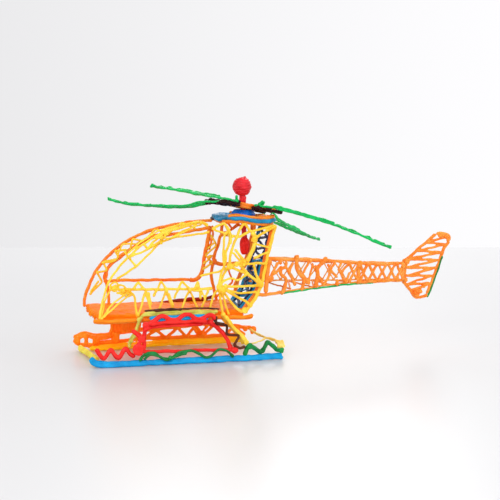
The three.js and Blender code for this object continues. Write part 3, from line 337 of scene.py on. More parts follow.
def plastic(name, slot, tint=None):
    """Extruded plastic: glossy, faintly rippled along the strand, its colour a little uneven."""
    thin, deep, rough, glow, shine = PLASTICS[slot]
    painted_glow = 0.0
    if tint:
        thin, deep, glow, shine, painted_glow = tint
    material = bpy.data.materials.new(name)
    material.use_nodes = True
    nodes, links = material.node_tree.nodes, material.node_tree.links
    shader = nodes["Principled BSDF"]
    place = nodes.new("ShaderNodeTexCoord")

    cloud = nodes.new("ShaderNodeTexNoise")
    cloud.inputs["Scale"].default_value = CLOUD_SCALE
    cloud.inputs["Detail"].default_value = 4
    cloud.inputs["Roughness"].default_value = 0.6
    links.new(place.outputs["Object"], cloud.inputs["Vector"])
    shade = nodes.new("ShaderNodeValToRGB")
    shade.color_ramp.elements[0].position = 0.36
    shade.color_ramp.elements[0].color = linear(deep)
    shade.color_ramp.elements[1].position = 0.62
    shade.color_ramp.elements[1].color = linear(thin)
    links.new(cloud.outputs["Fac"], shade.inputs["Fac"])
    links.new(shade.outputs["Color"], shader.inputs["Base Color"])

    grain = nodes.new("ShaderNodeTexNoise")
    grain.inputs["Scale"].default_value = GRAIN_SCALE
    grain.inputs["Detail"].default_value = 3
    links.new(place.outputs["Object"], grain.inputs["Vector"])
    gloss = nodes.new("ShaderNodeMapRange")
    gloss.inputs["To Min"].default_value = rough - 0.1
    gloss.inputs["To Max"].default_value = rough + 0.16
    links.new(grain.outputs["Fac"], gloss.inputs["Value"])
    links.new(gloss.outputs["Result"], shader.inputs["Roughness"])

    ripple = nodes.new("ShaderNodeTexNoise")
    ripple.inputs["Scale"].default_value = RIPPLE_SCALE
    ripple.inputs["Detail"].default_value = 2
    links.new(place.outputs["Object"], ripple.inputs["Vector"])
    bump = nodes.new("ShaderNodeBump")
    bump.inputs["Strength"].default_value = 0.35
    bump.inputs["Distance"].default_value = RIPPLE_DEPTH
    links.new(ripple.outputs["Fac"], bump.inputs["Height"])
    links.new(bump.outputs["Normal"], shader.inputs["Normal"])

    # Painted glow: the plastic's own shade given off as light, in place of light carried through it, which
    # also lifts pieces that lie in shade.
    links.new(shade.outputs["Color"], shader.inputs["Emission Color"])
    shader.inputs["Emission Strength"].default_value = painted_glow
    shader.inputs["Subsurface Weight"].default_value = glow
    shader.inputs["Subsurface Radius"].default_value = (1.0, 0.6, 0.4)
    scatter = SCATTER_FAR if glow > CLEAR_GLOW else SCATTER_NEAR
    shader.inputs["Subsurface Scale"].default_value = scatter
    shader.inputs["Specular IOR Level"].default_value = shine
    shader.inputs["IOR"].default_value = 1.46
    return material


MATERIALS = {slot: plastic("plastic_" + slot, slot) for slot in PLASTICS}
for tinted, tint in TINTS.items():
    MATERIALS[tinted] = plastic("plastic_" + tinted, SLOT_OF[tinted], tint)

# ---------------------------------------------------------------- places


def side_half(z):
    return SIDE_HALF - SIDE_LEAN * (z - SIDE_Z)


def boom_half(x):
    return BOOM_HALF + (BOOM_END_HALF - BOOM_HALF) * (x - BOOM_X) / BOOM_LENGTH


def on_side(side, layer=0.0):
    """On a side of the cabin. Strands climb towards -Y, the side that the hand worked on."""
    return lambda x, z, w: np.stack([x, side * (side_half(z) + layer * LAYER) - w, z], axis=1)


def on_boom(side):
    """On a face of the tail boom."""
    return lambda x, z, w: np.stack([x, side * boom_half(x) - w, z], axis=1)


def upright(y):
    """On an upright plane along the model."""
    return lambda x, z, w: np.stack([x, np.full_like(x, y) - w, z], axis=1)


def level(z):
    """On a level plane, climbing upwards."""
    return lambda x, y, w: np.stack([x, y, np.full_like(x, z) + w], axis=1)


REAR_Z = (24.4, 32.2, 38.5, 46, 56.6, 66.6)
REAR_X = (-17.6, -11.4, -8.7, -6.9, -4.2, -1.6)


def on_rear_wall(layer):
    """On the curved wall behind the cabin, climbing towards the tail."""
    return lambda y, z, w: np.stack([np.interp(z, REAR_Z, REAR_X) + layer - 0.6 + w, y, z], axis=1)


def build(weave, *nodes, voxel=VOXEL, smooth=4):
    """Turns a weave into a piece that stands for its CAD nodes and rides where they ride."""
    mesh = bpy.data.meshes.new(weave.name)
    verts = (np.vstack(weave.verts) + OFFSET) * MM
    mesh.from_pydata(verts.tolist(), [], weave.faces)
    mesh.update()
    for polygon in mesh.polygons:
        polygon.use_smooth = True
    piece = bpy.data.objects.new(weave.name, mesh)
    bpy.context.scene.collection.objects.link(piece)
    fused(piece, voxel, smooth)
    slot = SLOT_OF[nodes[0]]
    piece.data.materials.clear()
    piece.data.materials.append(MATERIALS.get(nodes[0], MATERIALS[slot]))
    for polygon in piece.data.polygons:
        polygon.material_index = 0
    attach(piece, BODY_OF[nodes[0]])
    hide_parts(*nodes)
    return piece


def draw(node, place, strokes, lumps=()):
    """A flat drawing: strokes are (kind, radius, points), lumps are (u, v, radius)."""
    weave = Weave(node + "_strands", place)
    for kind, radius, points in strokes:
        weave.lay(kind, radius, points)
    for lump in lumps:
        weave.lump(*lump)
    return build(weave, node)


# ---------------------------------------------------------------- floor


def floor():
    """Two layers of long strokes side by side, in rows that stop and start, and the floor's rims."""
    nose_edge_y = (-19.4, -10, 0, 14)
    nose_edge_x = (-91.2, -92.6, -94.2, -94.8)
    weave = Weave("floor_pan_strands", level(FLOOR_Z - 0.9))
    rng = np.random.RandomState(5)
    first_row = -18.6
    pitch = 1.45
    rows = int(38.6 / pitch)
    for layer in range(2):
        for i in range(rows):
            y = first_row + i * pitch + (0.5 if layer else 0) * pitch
            start = float(np.interp(y, nose_edge_y, nose_edge_x)) + rng.uniform(0.0, 1.2)
            rear = -16.6 - 0.02 * (y + 2) ** 2 * 0.3 + rng.uniform(-0.6, 0.4)
            cuts = [start]
            while cuts[-1] < rear - 34:
                cuts.append(cuts[-1] + rng.uniform(18, 40))
            cuts.append(rear)
            for a, b in zip(cuts, cuts[1:]):
                if layer and a < -30 < b and 3 < y < 7.4:
                    b = -31.4  # the upper layer has a gap here
                sag = rng.uniform(-0.3, 0.3)
                end = (b + 0.2, y + rng.uniform(-0.25, 0.25))
                points = [(a - 0.4, y), ((a + b) / 2, y + sag), end]
                weave.lay("line", rng.uniform(0.78, 0.95), points)
    build(weave, "floor_pan", voxel=0.32)

    rim = Weave("floor_near_rim_strands", upright(-20.0))
    edge = [(-93.4, 22.2), (-91, 21.6), (-60, 21.6), (-30, 21.5), (-16, 21.3), (-13.4, 22.0)]
    rim.lay("line", 1.0, edge)
    rim.lay("line", 0.9, [(x, z + 0.7) for x, z in edge], 0.3)
    build(rim, "floor_near_rim")

    far = Weave("floor_far_rim_strands", upright(20.6))
    for drop, radius in ((0.0, 1.0), (1.1, 0.8), (-1.1, 0.85)):
        edge = [(-94.6, 22.2), (-60, 22.1), (-30, 22.2), (-17, 22.4)]
        far.lay("line", radius, [(x, z + drop) for x, z in edge])
    build(far, "floor_far_rim")

    bench = [
        ("line", HEAVY, [(-68.6, 23.6), (-55, 23.9), (-40, 24.2), (-27, 24.4)]),
        ("line", HEAVY, [(-62, 24.3), (-45, 24.9), (-30, 25.4)]),
        ("line", HEAVY, [(-54, 25.0), (-42, 25.9), (-27, 26.6)]),
        ("zig", MEDIUM, [(-46, 25.0), (-40, 26.6), (-34, 25.8), (-27, 27.4)]),
    ]
    draw("floor_bench", upright(17.6), bench)


# ---------------------------------------------------------------- the cabin's near side

FOOT = 22.8  # where the sides' strands are welded to the floor


def near_side():
    arch = [
        ("line", LIGHT, [(-90.4, FOOT), (-88.5, 32.5), (-85.3, 41.5), (-82.2, 46), (-75.3, 53.5),
                         (-68, 59.4), (-61, 63.6)]),
        ("line", HEAVY, [(-63, 62.4), (-59.6, 64.2), (-49, 67.2), (-39.5, 69.8), (-35.6, 67.6)]),
        ("line", FINE, [(-76.2, 54.7), (-68.7, 60.8), (-60.1, 65.8), (-49.4, 68.6), (-40, 70)]),
        ("line", LIGHT, [(-75.3, 53.3), (-67, 56.3), (-59.2, 61.2), (-56, 64.8)]),
        ("zig", FINE, [(-89.6, FOOT), (-83.4, 31), (-76.8, 35.6)]),
        ("zig", FINE, [(-88.6, FOOT + 1), (-81, 30.5), (-74, 35.4)]),
        ("zig", LIGHT, [(-67.8, 59.2), (-66.2, 56.8), (-60.5, 63.4)]),
        ("zig", FINE, [(-61.5, 62.4), (-55, 61.8), (-47, 65.4), (-41, 68.2)]),
    ]
    lumps = [(-67, 58.4, 0.9), (-59.6, 62.6, 1.3), (-36.4, 68, 1.0), (-39.4, 69.2, 1.0)]
    draw("near_nose_arch", on_side(-1), arch, lumps)

    rim = [
        ("line", LIGHT, [(-81.7, 42.3), (-76, 45.6), (-72, 48.4), (-66.4, 53.2), (-59.5, 59.8),
                         (-52, 62.2), (-44, 63.2), (-34.6, 64.6)]),
        ("zig", LIGHT, [(-71.9, 48.4), (-75.3, 52.6), (-77.6, 56.2)]),
        ("zig", LIGHT, [(-59.3, 59.9), (-58.4, 63.2)]),
        ("zig", FINE, [(-57, 60.8), (-47, 66), (-38.5, 68.4)]),
    ]
    draw("near_window_rim", on_side(-1, -1), rim, [(-72, 48.6, 0.9), (-75, 52.4, 1.0), (-59.4, 59.8, 1.1)])

    sill = [
        ("line", MEDIUM, [(-84.8, 38.4), (-80, 37.4), (-60, 36.7), (-33.6, 36.3)]),
        ("line", LIGHT, [(-82, 35.6), (-74, 35), (-72.6, 29.5), (-71.6, FOOT)]),
        ("zig", LIGHT, [(-71.5, FOOT), (-67.4, 36.4), (-64.6, 24.4)]),
        ("zig", LIGHT, [(-61.6, 24.2), (-57.3, 36.4), (-53, 24)]),
        ("zig", LIGHT, [(-50.6, 24), (-45.6, 36.4), (-40.4, 23.6), (-36, 36.2)]),
        ("zig", LIGHT, [(-74, 36.8), (-70.9, 40.7), (-67.6, 36.6)]),
        ("zig", LIGHT, [(-63.6, 33), (-59.8, 40.7), (-57, 36.6)]),
        ("zig", LIGHT, [(-53.4, 31.6), (-49.4, 40.5), (-45.4, 36.5)]),
        ("zig", LIGHT, [(-42.8, 36.4), (-41.2, 40.4), (-39.9, 31)]),
        ("zig", FINE, [(-84.6, 37.8), (-87.6, 31.2), (-89.6, FOOT)]),
        ("zig", FINE, [(-66, 35.8), (-64.6, 29)]),
        ("zig", FINE, [(-56, 35), (-53.6, 28)]),
        ("zig", FINE, [(-44.4, 35.6), (-39.6, 35.8), (-37.4, 30)]),
        ("line", FINE, [(-85, 36.6), (-84.4, 40), (-81.6, 40.8), (-80.6, 38), (-82.6, 36.4),
                        (-84.6, 37.8)]),
        ("line", FINE, [(-81.4, 39.6), (-78.4, 39.2), (-76.6, 36.6), (-78.8, 34.6), (-81.2, 36)]),
        ("line", FINE, [(-79.4, 37), (-76, 36.8), (-74.4, 34.8), (-76.6, 33.6), (-78.6, 35.2)]),
    ]
    lumps = [(-82.4, 38.4, 1.5), (-78.4, 36.8, 1.3), (-76.2, 35, 1.0),
             (-57.2, 36.2, 1.2), (-45.6, 36, 1.2), (-71.3, 24.6, 1.1), (-41.2, 37.6, 1.0)]
    draw("near_sill_lattice", on_side(-1, -1), sill, lumps)

    post = [
        ("line", MEDIUM, [(-27.4, 69), (-25.6, 65), (-25.2, 60), (-27.2, 54), (-27.4, 49.6),
                          (-29.6, 44), (-31.1, 37.8)]),
        ("line", LIGHT, [(-27.6, 64.4), (-27.9, 59.5), (-28.6, 52), (-28, 47.8)]),
        ("zig", LIGHT, [(-25.8, 65.4), (-27.7, 63.4)]),
        ("line", MEDIUM, [(-26.8, 68), (-24.9, 63.2), (-24.9, 58.4)]),
    ]
    draw("near_door_post", on_side(-1, 1), post)
    rear_quarter()


def rear_quarter():
    upper, lower, rear = (-25.4, 47.4), (-30.8, 37.4), (-9.4, 37.6)
    strokes = [
        ("line", HEAVY, [(-1, 67.8), (-4.2, 56.6), (-7, 45.2), (-8.9, 38), (-11.4, 32.2), (-17.8, 23.4)]),
        ("zig", MEDIUM, [(-34, 65.8), (-27.6, 69), (-24.1, 62.6)]),
        ("zig", LIGHT, [(-32.8, 65.6), (-24.6, 63)]),
        ("zig", MEDIUM, [(-24.1, 62.7), (-19.6, 62), (-14.2, 64.8)]),
        ("line", MEDIUM, [(-17.4, 69), (-20.4, 63.9), (-22, 60), (-24.3, 54.6), (-25.2, 48)]),
        ("zig", MEDIUM, [(-17.4, 69), (-14.1, 64.8), (-10.4, 65.2), (-1.2, 67.6)]),
        ("line", THICK, [(-13.6, 64.4), (-11.8, 61.6), (-12.6, 56.6), (-16.4, 49.2)]),
        ("zig", MEDIUM, [(-1.2, 67.2), (-11.6, 61.4)]),
        ("zig", LIGHT, [(-4.4, 56.4), (-11.8, 58.2)]),
        ("zig", LIGHT, [(-4.9, 54.2), (-12.8, 51)]),
        ("zig", MEDIUM, [(-6, 48.3), (-21.4, 48.6), upper]),
        ("zig", MEDIUM, [(-22.4, 56), (-17.2, 49)]),
        ("zig", LIGHT, [(-23.4, 54.4), (-19, 48.8)]),
        ("zig", MEDIUM, [upper, (-16.5, 43.4), rear]),
        ("zig", MEDIUM, [(-20.4, 48.4), (-13.6, 41.4), rear]),
        ("zig", MEDIUM, [(-12.8, 48.2), (-11.8, 43.6), rear]),
        ("zig", MEDIUM, [upper, (-28.2, 43.4), lower]),
        ("zig", LIGHT, [(-40.4, 42.8), (-31, 44.8), upper]),
        ("line", LIGHT, [lower, (-27.4, 40.6), (-24.6, 41.4), (-21.2, 40.2), (-16.5, 43.2)]),
        ("zig", MEDIUM, [lower, (-21, 37), rear]),
        ("zig", LIGHT, [lower, (-21.5, 33.8), (-13, 34), (-11.4, 34.4)]),
        ("zig", MEDIUM, [lower, (-17, 29.4), (-15.2, 27.6)]),
        ("line", MEDIUM, [lower, (-26.4, 31.8), (-22.4, 26.6), (-18.6, 24)]),
        ("zig", MEDIUM, [lower, (-30.2, 31), (-28.9, FOOT)]),
        ("zig", LIGHT, [lower, (-28.4, 31), (-25.8, FOOT)]),
        ("zig", LIGHT, [lower, (-34, 32), (-36.4, FOOT + 1)]),
    ]
    lumps = [(*upper, 2.0), (-21.6, 48.4, 1.6), (-18, 48, 1.1), (*lower, 1.9), (-27.6, 37.6, 1.3),
             (*rear, 1.6), (-17.8, 25, 1.8), (-15, 27.6, 1.3), (-12.6, 60.6, 1.5), (-23.8, 62.4, 1.2)]
    draw("near_rear_quarter", on_side(-1), strokes, lumps)


# ---------------------------------------------------------------- the cabin's far side


def far_side():
    outline = [
        ("line", HEAVY, [(-95.4, FOOT), (-95.2, 27.6), (-92.6, 35), (-87.4, 44.6), (-80, 52.4),
                         (-73, 57.4), (-62, 62.6), (-48, 66.0), (-36, 67.6), (-27, 67.9)]),
        ("line", MEDIUM, [(-94.6, 30), (-90.6, 39.6), (-83, 49.8), (-74.4, 57), (-62, 63.0), (-47, 66.4)]),
    ]
    draw("far_outer_arch", on_side(1), outline)

    window = [
        ("line", HEAVY, [(-84.6, 37), (-84.6, 40), (-81.8, 45), (-76.4, 49.3), (-67.6, 55.4),
                         (-62, 58.6), (-50, 60.8), (-34, 63.3), (-29.2, 64.4)]),
        ("line", THICK, [(-29.2, 65.4), (-29.1, 60.8), (-30.1, 56.1), (-31.4, 49.3), (-32.3, 42.5),
                         (-34.3, 37.4), (-37, 36.2), (-40, 36.2)]),
        ("line", HEAVY, [(-39.5, 36.4), (-60, 36.6), (-75, 36.9), (-84.9, 36.6)]),
        ("line", MEDIUM, [(-84.2, 38), (-83, 43.4), (-77.6, 49), (-70, 54.6), (-62.4, 59.2), (-51, 62)]),
        ("zig", HEAVY, [(-84, 36.8), (-82.8, 31), (-82.6, FOOT)]),
        ("line", LIGHT, [(-27.7, 65.6), (-27.1, 60.7), (-28, 56), (-29, 52)]),
    ]
    draw("far_window_frame", on_side(1, -1), window, [(-84.3, 37, 1.4), (-29.6, 64.2, 1.2)])

    lacing = [
        ("zig", LIGHT, [(-92.8, 29.6), (-86, 36.6), (-89, 41.8), (-83.4, 42.4), (-85.4, 47.2),
                        (-77.4, 48.8), (-79.2, 53), (-71.4, 53.2), (-70, 59), (-64.6, 57.6),
                        (-57.6, 64.2)]),
        ("zig", FINE, [(-92.4, 31.2), (-87.6, 37.4)]),
        ("zig", FINE, [(-86.6, 46.6), (-79, 47.4), (-75.4, 56.4), (-66, 56.4)]),
        ("zig", LIGHT, [(-57.6, 64.2), (-52, 60.6), (-44, 67.4), (-36, 63.4)]),
    ]
    draw("far_arch_lacing", on_side(1, -2), lacing, [(-88.4, 41.6, 1.1), (-79, 52.6, 1.0)])

    post = [
        ("line", HEAVY, [(-21.4, 67.8), (-22, 63.5), (-22.3, 60.2)]),
        ("line", HEAVY, [(-16.5, 60), (-19.5, 59.9), (-22.3, 60.2), (-23.3, 58), (-24.1, 54.6),
                         (-25.6, 49.8), (-26.4, 46.1)]),
        ("line", THICK, [(-28.9, 45), (-26.4, 45.2), (-21.4, 44.1), (-9.4, 44.6)]),
        ("zig", MEDIUM, [(-22, 61), (-16.8, 62.6), (-12.4, 65.6), (-10, 62)]),
        ("zig", HEAVY, [(-27.2, 45.8), (-27.6, 38), (-24.2, FOOT)]),
        ("zig", LIGHT, [(-19.4, 44.8), (-15.6, 34.4), (-24.8, 26)]),
        ("zig", LIGHT, [(-19.6, 67.2), (-16.6, 63.4), (-12.4, 67)]),
    ]
    draw("far_rear_post", on_side(1), post, [(-26, 46, 1.5), (-22.2, 60, 1.1), (-27.2, 44, 1.3)])

    ties = [
        ("zig", LIGHT, [(-28.6, 60.6), (-25, 54.6), (-31.4, 49.6), (-27.2, 45), (-33, 41.6)]),
        ("zig", FINE, [(-30.6, 52.4), (-25.6, 57)]),
        ("zig", FINE, [(-32.6, 44.4), (-27, 49.6)]),
    ]
    draw("far_post_ties", on_side(1, -2), ties, [(-28.8, 48.4, 1.3), (-31.6, 45.4, 1.1)])

    edge = [
        ("line", THICK, [(-4.4, 67.8), (-5.1, 59.7), (-5, 55.5), (-7, 49.4), (-9, 44), (-13, 35.1),
                         (-15.6, 24)]),
        ("line", HEAVY, [(-5.8, 66), (-6.4, 58), (-8.6, 48.4), (-11.8, 40), (-15.6, 31)]),
    ]
    draw("far_rear_edge", on_side(1, -1), edge)


# ---------------------------------------------------------------- rear wall


def rungs(count, low, high, half):
    """Points from side to side, rising in equal steps."""
    return [(half if i % 2 else -half, low + (high - low) * i / count) for i in range(count + 1)]


def rear_wall():
    sky = [
        ("line", THICK, [(-11, 23.4), (-12, 37), (-11, 49)]),
        ("line", THICK, [(13, 23.4), (13.4, 37), (12, 49)]),
        ("zig", HEAVY, rungs(8, 25.2, 49, 12)),
        ("zig", MEDIUM, [(-12, 37), (13.2, 33.6)]),
        ("zig", MEDIUM, [(-11.4, 45), (12.4, 42)]),
    ]
    draw("rear_wall_lattice", on_rear_wall(0), sky)
    navy = [
        ("zig", MEDIUM, rungs(6, 50, 66.6, 10.8)),
        ("line", MEDIUM, [(-10.6, 49), (-11.2, 60), (-10, 67.6)]),
        ("line", MEDIUM, [(11, 49), (10.6, 58), (9.6, 67.6)]),
    ]
    weave = Weave("rear_wall_upper_lattice_strands", on_rear_wall(0))
    for kind, radius, points in navy:
        weave.lay(kind, radius, points)
    weave.place = on_rear_wall(-1.7)
    weave.clear()
    weave.lay("zig", MEDIUM, [(-11, 26), (6, 29.4), (-11.6, 33), (7, 36.4), (-11.4, 40.4), (8, 43),
                              (-11, 48.4)])
    weave.lay("line", LIGHT, [(-11, 24.6), (-12.6, 36), (-11.2, 49)])
    weave.lay("line", LIGHT, [(3, 24.6), (5.2, 37), (4.4, 50)])
    build(weave, "rear_wall_upper_lattice")
    edge = [
        ("line", HEAVY, [(-15.8, 23.6), (-15.6, 37), (-14.8, 50), (-13.6, 67.4)]),
        ("line", MEDIUM, [(-14.8, 24), (-14.4, 38), (-13.8, 52)]),
    ]
    draw("rear_wall_near_edge", on_rear_wall(0.3), edge)
    web = [
        ("line", MEDIUM, [(10.4, 23.8), (9.6, 37), (8, 50), (6.4, 67.4)]),
        ("zig", MEDIUM, [(-13, 25), (10.4, 26.2)]),
        ("zig", FINE, [(10.2, 30), (-6, 34), (9.2, 40)]),
    ]
    draw("rear_wall_stay", on_rear_wall(-1.3), web)


# ---------------------------------------------------------------- roof


def roof_ring(inset, cut=3.4):
    """One turn round the roof, cut back at its near front corner."""
    half = ROOF_HALF - inset
    front, rear = ROOF_FRONT + inset, ROOF_REAR - inset
    turn = min(4.0, max(1.2, 5 - inset))
    corners = [(front + cut, -half + 2), (front + cut + 2.6, -half),
               (rear - turn, -half), (rear, -half + turn),
               (rear, half - turn), (rear - turn, half),
               (front + turn, half), (front, half - turn)]
    return corners + corners[:2]


def on_roof(base):
    """On the roof, which sinks towards the tail and waves a little."""

    def place(x, y, w):
        z = base - 0.05 * (x + 14) + 0.5 * np.cos(2 * np.pi * (x + 20) / 24)
        return np.stack([x, y, z + w], axis=1)

    return place


def roof_plate(node, height, radius, insets, cut=3.4):
    """Rings of strand side by side, each started at a corner of its own."""
    weave = Weave(node + "_strands", on_roof(height))
    for i, inset in enumerate(insets):
        ring = roof_ring(inset, cut)
        shift = weave.rng.randint(0, 8)
        ring = ring[shift:-2] + ring[:shift] + [ring[shift], ring[shift + 1]] if shift else ring
        weave.clear()
        outer = 1.12 if i == 0 else 1.0
        weave.lay("line", radius * outer * weave.rng.uniform(0.97, 1.04), ring)
    return build(weave, node, voxel=0.28)


def roof():
    roof_plate("roof_under", 68.8, 0.85, [1.2, 2.7, 4.2, 5.7, 7.2, 8.7], cut=-0.6)
    roof_plate("roof_band", 70.3, 0.94, [0.2, 1.8, 3.4, 5.0, 6.6, 8.2, 9.6])

    weave = Weave("roof_top_strands", on_roof(71.6))
    front, rear = ROOF_FRONT, ROOF_REAR
    for inset in (0.0, 1.4, 2.8, 4.2):
        ring = [(front + 2.4 + inset, -14.4 + inset), (front + 9, -15.9 + inset),
                (front + 16, -15.7 + inset), (rear - 4, -15.4 + inset),
                (rear - 1.2 - inset, -12.6), (rear - 1.4 - inset, 0), (rear - 2.2 - inset, 11),
                (rear - 5, 14.2 - inset), (front + 13, 14.6 - inset), (front + 8.6 + inset, 12.6 - inset)]
        weave.clear()
        weave.lay("line", 0.78, ring)
    weave.clear()
    weave.lay("line", 1.0, [(-9.4, -14.2), (-6, -14.9), (-3, -14.8), (-1.4, -13.4), (-1.2, -10)], 0.5)
    build(weave, "roof_top")

    wing = Weave("roof_front_wing_strands", on_roof(69.7))
    for row in range(4):
        points = []
        for i in range(9):
            y = -13.4 + i * 3.4
            points.append((front - 1.8 + 0.07 * (y + 13) + row * 1.3 + (0.4 if i % 2 else -0.4), y))
        wing.clear()
        wing.lay("line", 0.7, points, 0.3 * row)
    build(wing, "roof_front_wing")

    line = [("line", MEDIUM, [(front - 0.6, 3.4), (front - 1.2, 8), (front - 1.0, 13.4)]),
            ("line", LIGHT, [(front - 0.2, 4.6), (front - 0.6, 9), (front - 0.4, 13)])]
    draw("roof_front_line", on_roof(69.0), line)

    collar = Weave("roof_collar_strands", None)
    for z, outer in ((72.2, 5.6), (73.1, 5.2), (74.0, 4.4)):
        for radius in np.arange(outer, 2.9, -1.3):
            collar.space(0.74, circle(HUB[0], 0, z, radius))
    build(collar, "roof_collar")


def circle(x, y, z, radius, turns=1.03, rise=0.0, start=0.0):
    """Points round a circle, or up a helix where rise is given."""
    count = max(8, int(16 * turns))
    points = []
    for i in range(count + 1):
        turn = start + 2 * math.pi * turns * i / count
        points.append((x + radius * math.cos(turn), y + radius * math.sin(turn), z + rise * i / count))
    return points


# ---------------------------------------------------------------- tail boom and fin


def boom():
    top = [(-4.6, 50.8), (2, 50), (19, 49), (38, 47), (47, 45.8), (60, 44.8), (74.4, 44.8)]
    strokes = [
        ("line", HEAVY, top),
        ("line", HEAVY, [(-12.4, 32.8), (-6, 32.4), (2.4, 33.2)]),
        ("line", FINE, [(2, 33.2), (20, 34.6), (38.5, 35.8), (46, 35.8)]),
        ("line", HEAVY, [(45, 35.8), (54, 35.6), (74, 35.4)]),
        ("line", THICK, [(-4.3, 50.3), (-5, 46.3), (-5.5, 42.2), (-6, 37.3), (-6.6, 33.4)]),
        ("line", MEDIUM, [(0.3, 48.8), (-1.6, 45.2), (-3.1, 42.6), (-3.6, 40.3)]),
        ("zig", MEDIUM, [(2.8, 46.4), (-1.1, 43.4), (-3.1, 42.6)]),
        ("line", HEAVY, [(4.8, 49), (4.5, 46.3), (2.1, 45), (2.1, 42.3), (4.3, 40.4), (4.8, 38),
                         (3.8, 35.8), (1.9, 31.8)]),
        ("line", HEAVY, [(4.6, 38.6), (3.6, 35.4), (1.9, 32.4)]),
        ("line", MEDIUM, [(4.3, 46.3), (6.3, 43), (8.8, 38.7), (9.6, 36.9)]),
        ("line", MEDIUM, [(8.8, 48.4), (6.8, 44.3), (6.3, 42.1)]),
        ("line", THICK, [(10.5, 51.9), (10.5, 48.7), (11.3, 44.1), (13.3, 41.3), (15.8, 38.8),
                         (17.4, 36.4)]),
        ("line", HEAVY, [(14.8, 38.9), (14.3, 36.1), (13.3, 33.2)]),
        ("line", MEDIUM, [(17.8, 48.4), (15.8, 44.8), (14.5, 42.1)]),
        ("line", LIGHT, [(19.8, 47.4), (19.3, 43.7), (18.1, 40.1), (17.4, 35.9)]),
        ("line", THICK, [(26.4, 48.9), (23.9, 45.8), (22.4, 44), (22.7, 40.3), (21.4, 34.3)]),
        ("zig", MEDIUM, [(20.3, 45.5), (22.4, 45.3)]),
        ("zig", MEDIUM, [(22.7, 40.3), (26, 35.9)]),
        ("line", MEDIUM, [(28.5, 46.5), (30.1, 43.2), (29.1, 39.9), (26.5, 35.9)]),
        ("zig", MEDIUM, [(32.6, 46.8), (28.5, 41.4)]),
        ("zig", MEDIUM, [(28.5, 45.1), (34.3, 38.7)]),
        ("zig", HEAVY, [(34, 38.3), (34, 34.5)]),
        ("zig", MEDIUM, [(34.7, 43.9), (39, 36.1)]),
        ("zig", MEDIUM, [(36.4, 47.0), (34.7, 43.9)]),
        ("zig", MEDIUM, [(41, 45.9), (36.3, 41.4)]),
        ("zig", MEDIUM, [(41.7, 41.6), (38.5, 35.7)]),
        ("zig", THICK, [(46.6, 47.0), (46.4, 41), (47.0, 35.6)]),
        ("zig", HEAVY, [(73.4, 44.8), (73.6, 35.4)]),
    ]
    bay = 5.75
    for i in range(6):
        a = 40.8 + bay * i
        b = min(a + bay, 73.6)
        high_a, high_b = (46.0 - 0.03 * (x - 44) for x in (a, b))
        strokes.append(("zig", MEDIUM, [(a, high_a), (b, 35.6)]))
        strokes.append(("zig", MEDIUM, [(a, 35.7), (b, high_b)]))
    lumps = [(-3.6, 40.3, 1.8), (1.6, 48.2, 1.2), (9.6, 36.9, 1.2), (18.4, 48.4, 1.1), (26.4, 48.9, 1.6),
             (25.8, 35.9, 1.2), (46.6, 45.8, 1.8), (46.8, 36.4, 1.2), (73, 43.6, 1.6), (10.5, 50.9, 1.3)]
    draw("boom_near_face", on_boom(-1), strokes, lumps)

    laces = [(-4, 47.2), (3, 34.8), (10, 47), (17.5, 35), (24, 46.4), (32, 35.2), (38, 45.8),
             (45, 35.4), (50.5, 45), (56.5, 35.6), (61.5, 44.6), (66.5, 35.8), (71, 44.2)]
    back = [(x, laces[i - 1][1] - 0.4 if i % 2 else 35.2) for i, (x, _) in enumerate(laces)]
    far = [
        ("line", LIGHT, [(-5.6, 47.4), (12, 47.2), (30, 46.4), (50, 45), (73.6, 44.4)]),
        ("line", FINE, [(-11, 34), (10, 34.9), (40, 35), (73.6, 35.6)]),
        ("zig", THREAD, laces),
        ("zig", THREAD, back),
        ("zig", HEAVY, [(-4, 47.4), (-6.6, 34.6)]),
    ]
    draw("boom_far_face", on_boom(1), far)

    topping, under = Weave("boom_top_lacing_strands", None), Weave("boom_bottom_lacing_strands", None)
    steps = 9
    high_points, low_points = [], []
    for i in range(steps + 1):
        x = -1 + 58 * i / steps
        side = 1 if i % 2 else -1
        drop = 3.2 if side > 0 else 0.4
        high_points.append((x, side * (boom_half(x) - 0.2), 49.6 - drop - 3.2 * i / steps))
        low_points.append((x + 2, -side * (boom_half(x + 2) - 0.2), 34.4 + 0.6 * i / steps))
    topping.space(FINE, high_points, smooth=False)
    under.space(FINE, low_points, smooth=False)
    build(topping, "boom_top_lacing")
    build(under, "boom_bottom_lacing")

    keel = [("line", 0.5, [(2.6, 32.5), (12, 33.2), (24, 34.0), (38.5, 34.8), (56, 35.0)])]
    draw("boom_keel_strand", on_boom(-1), keel)


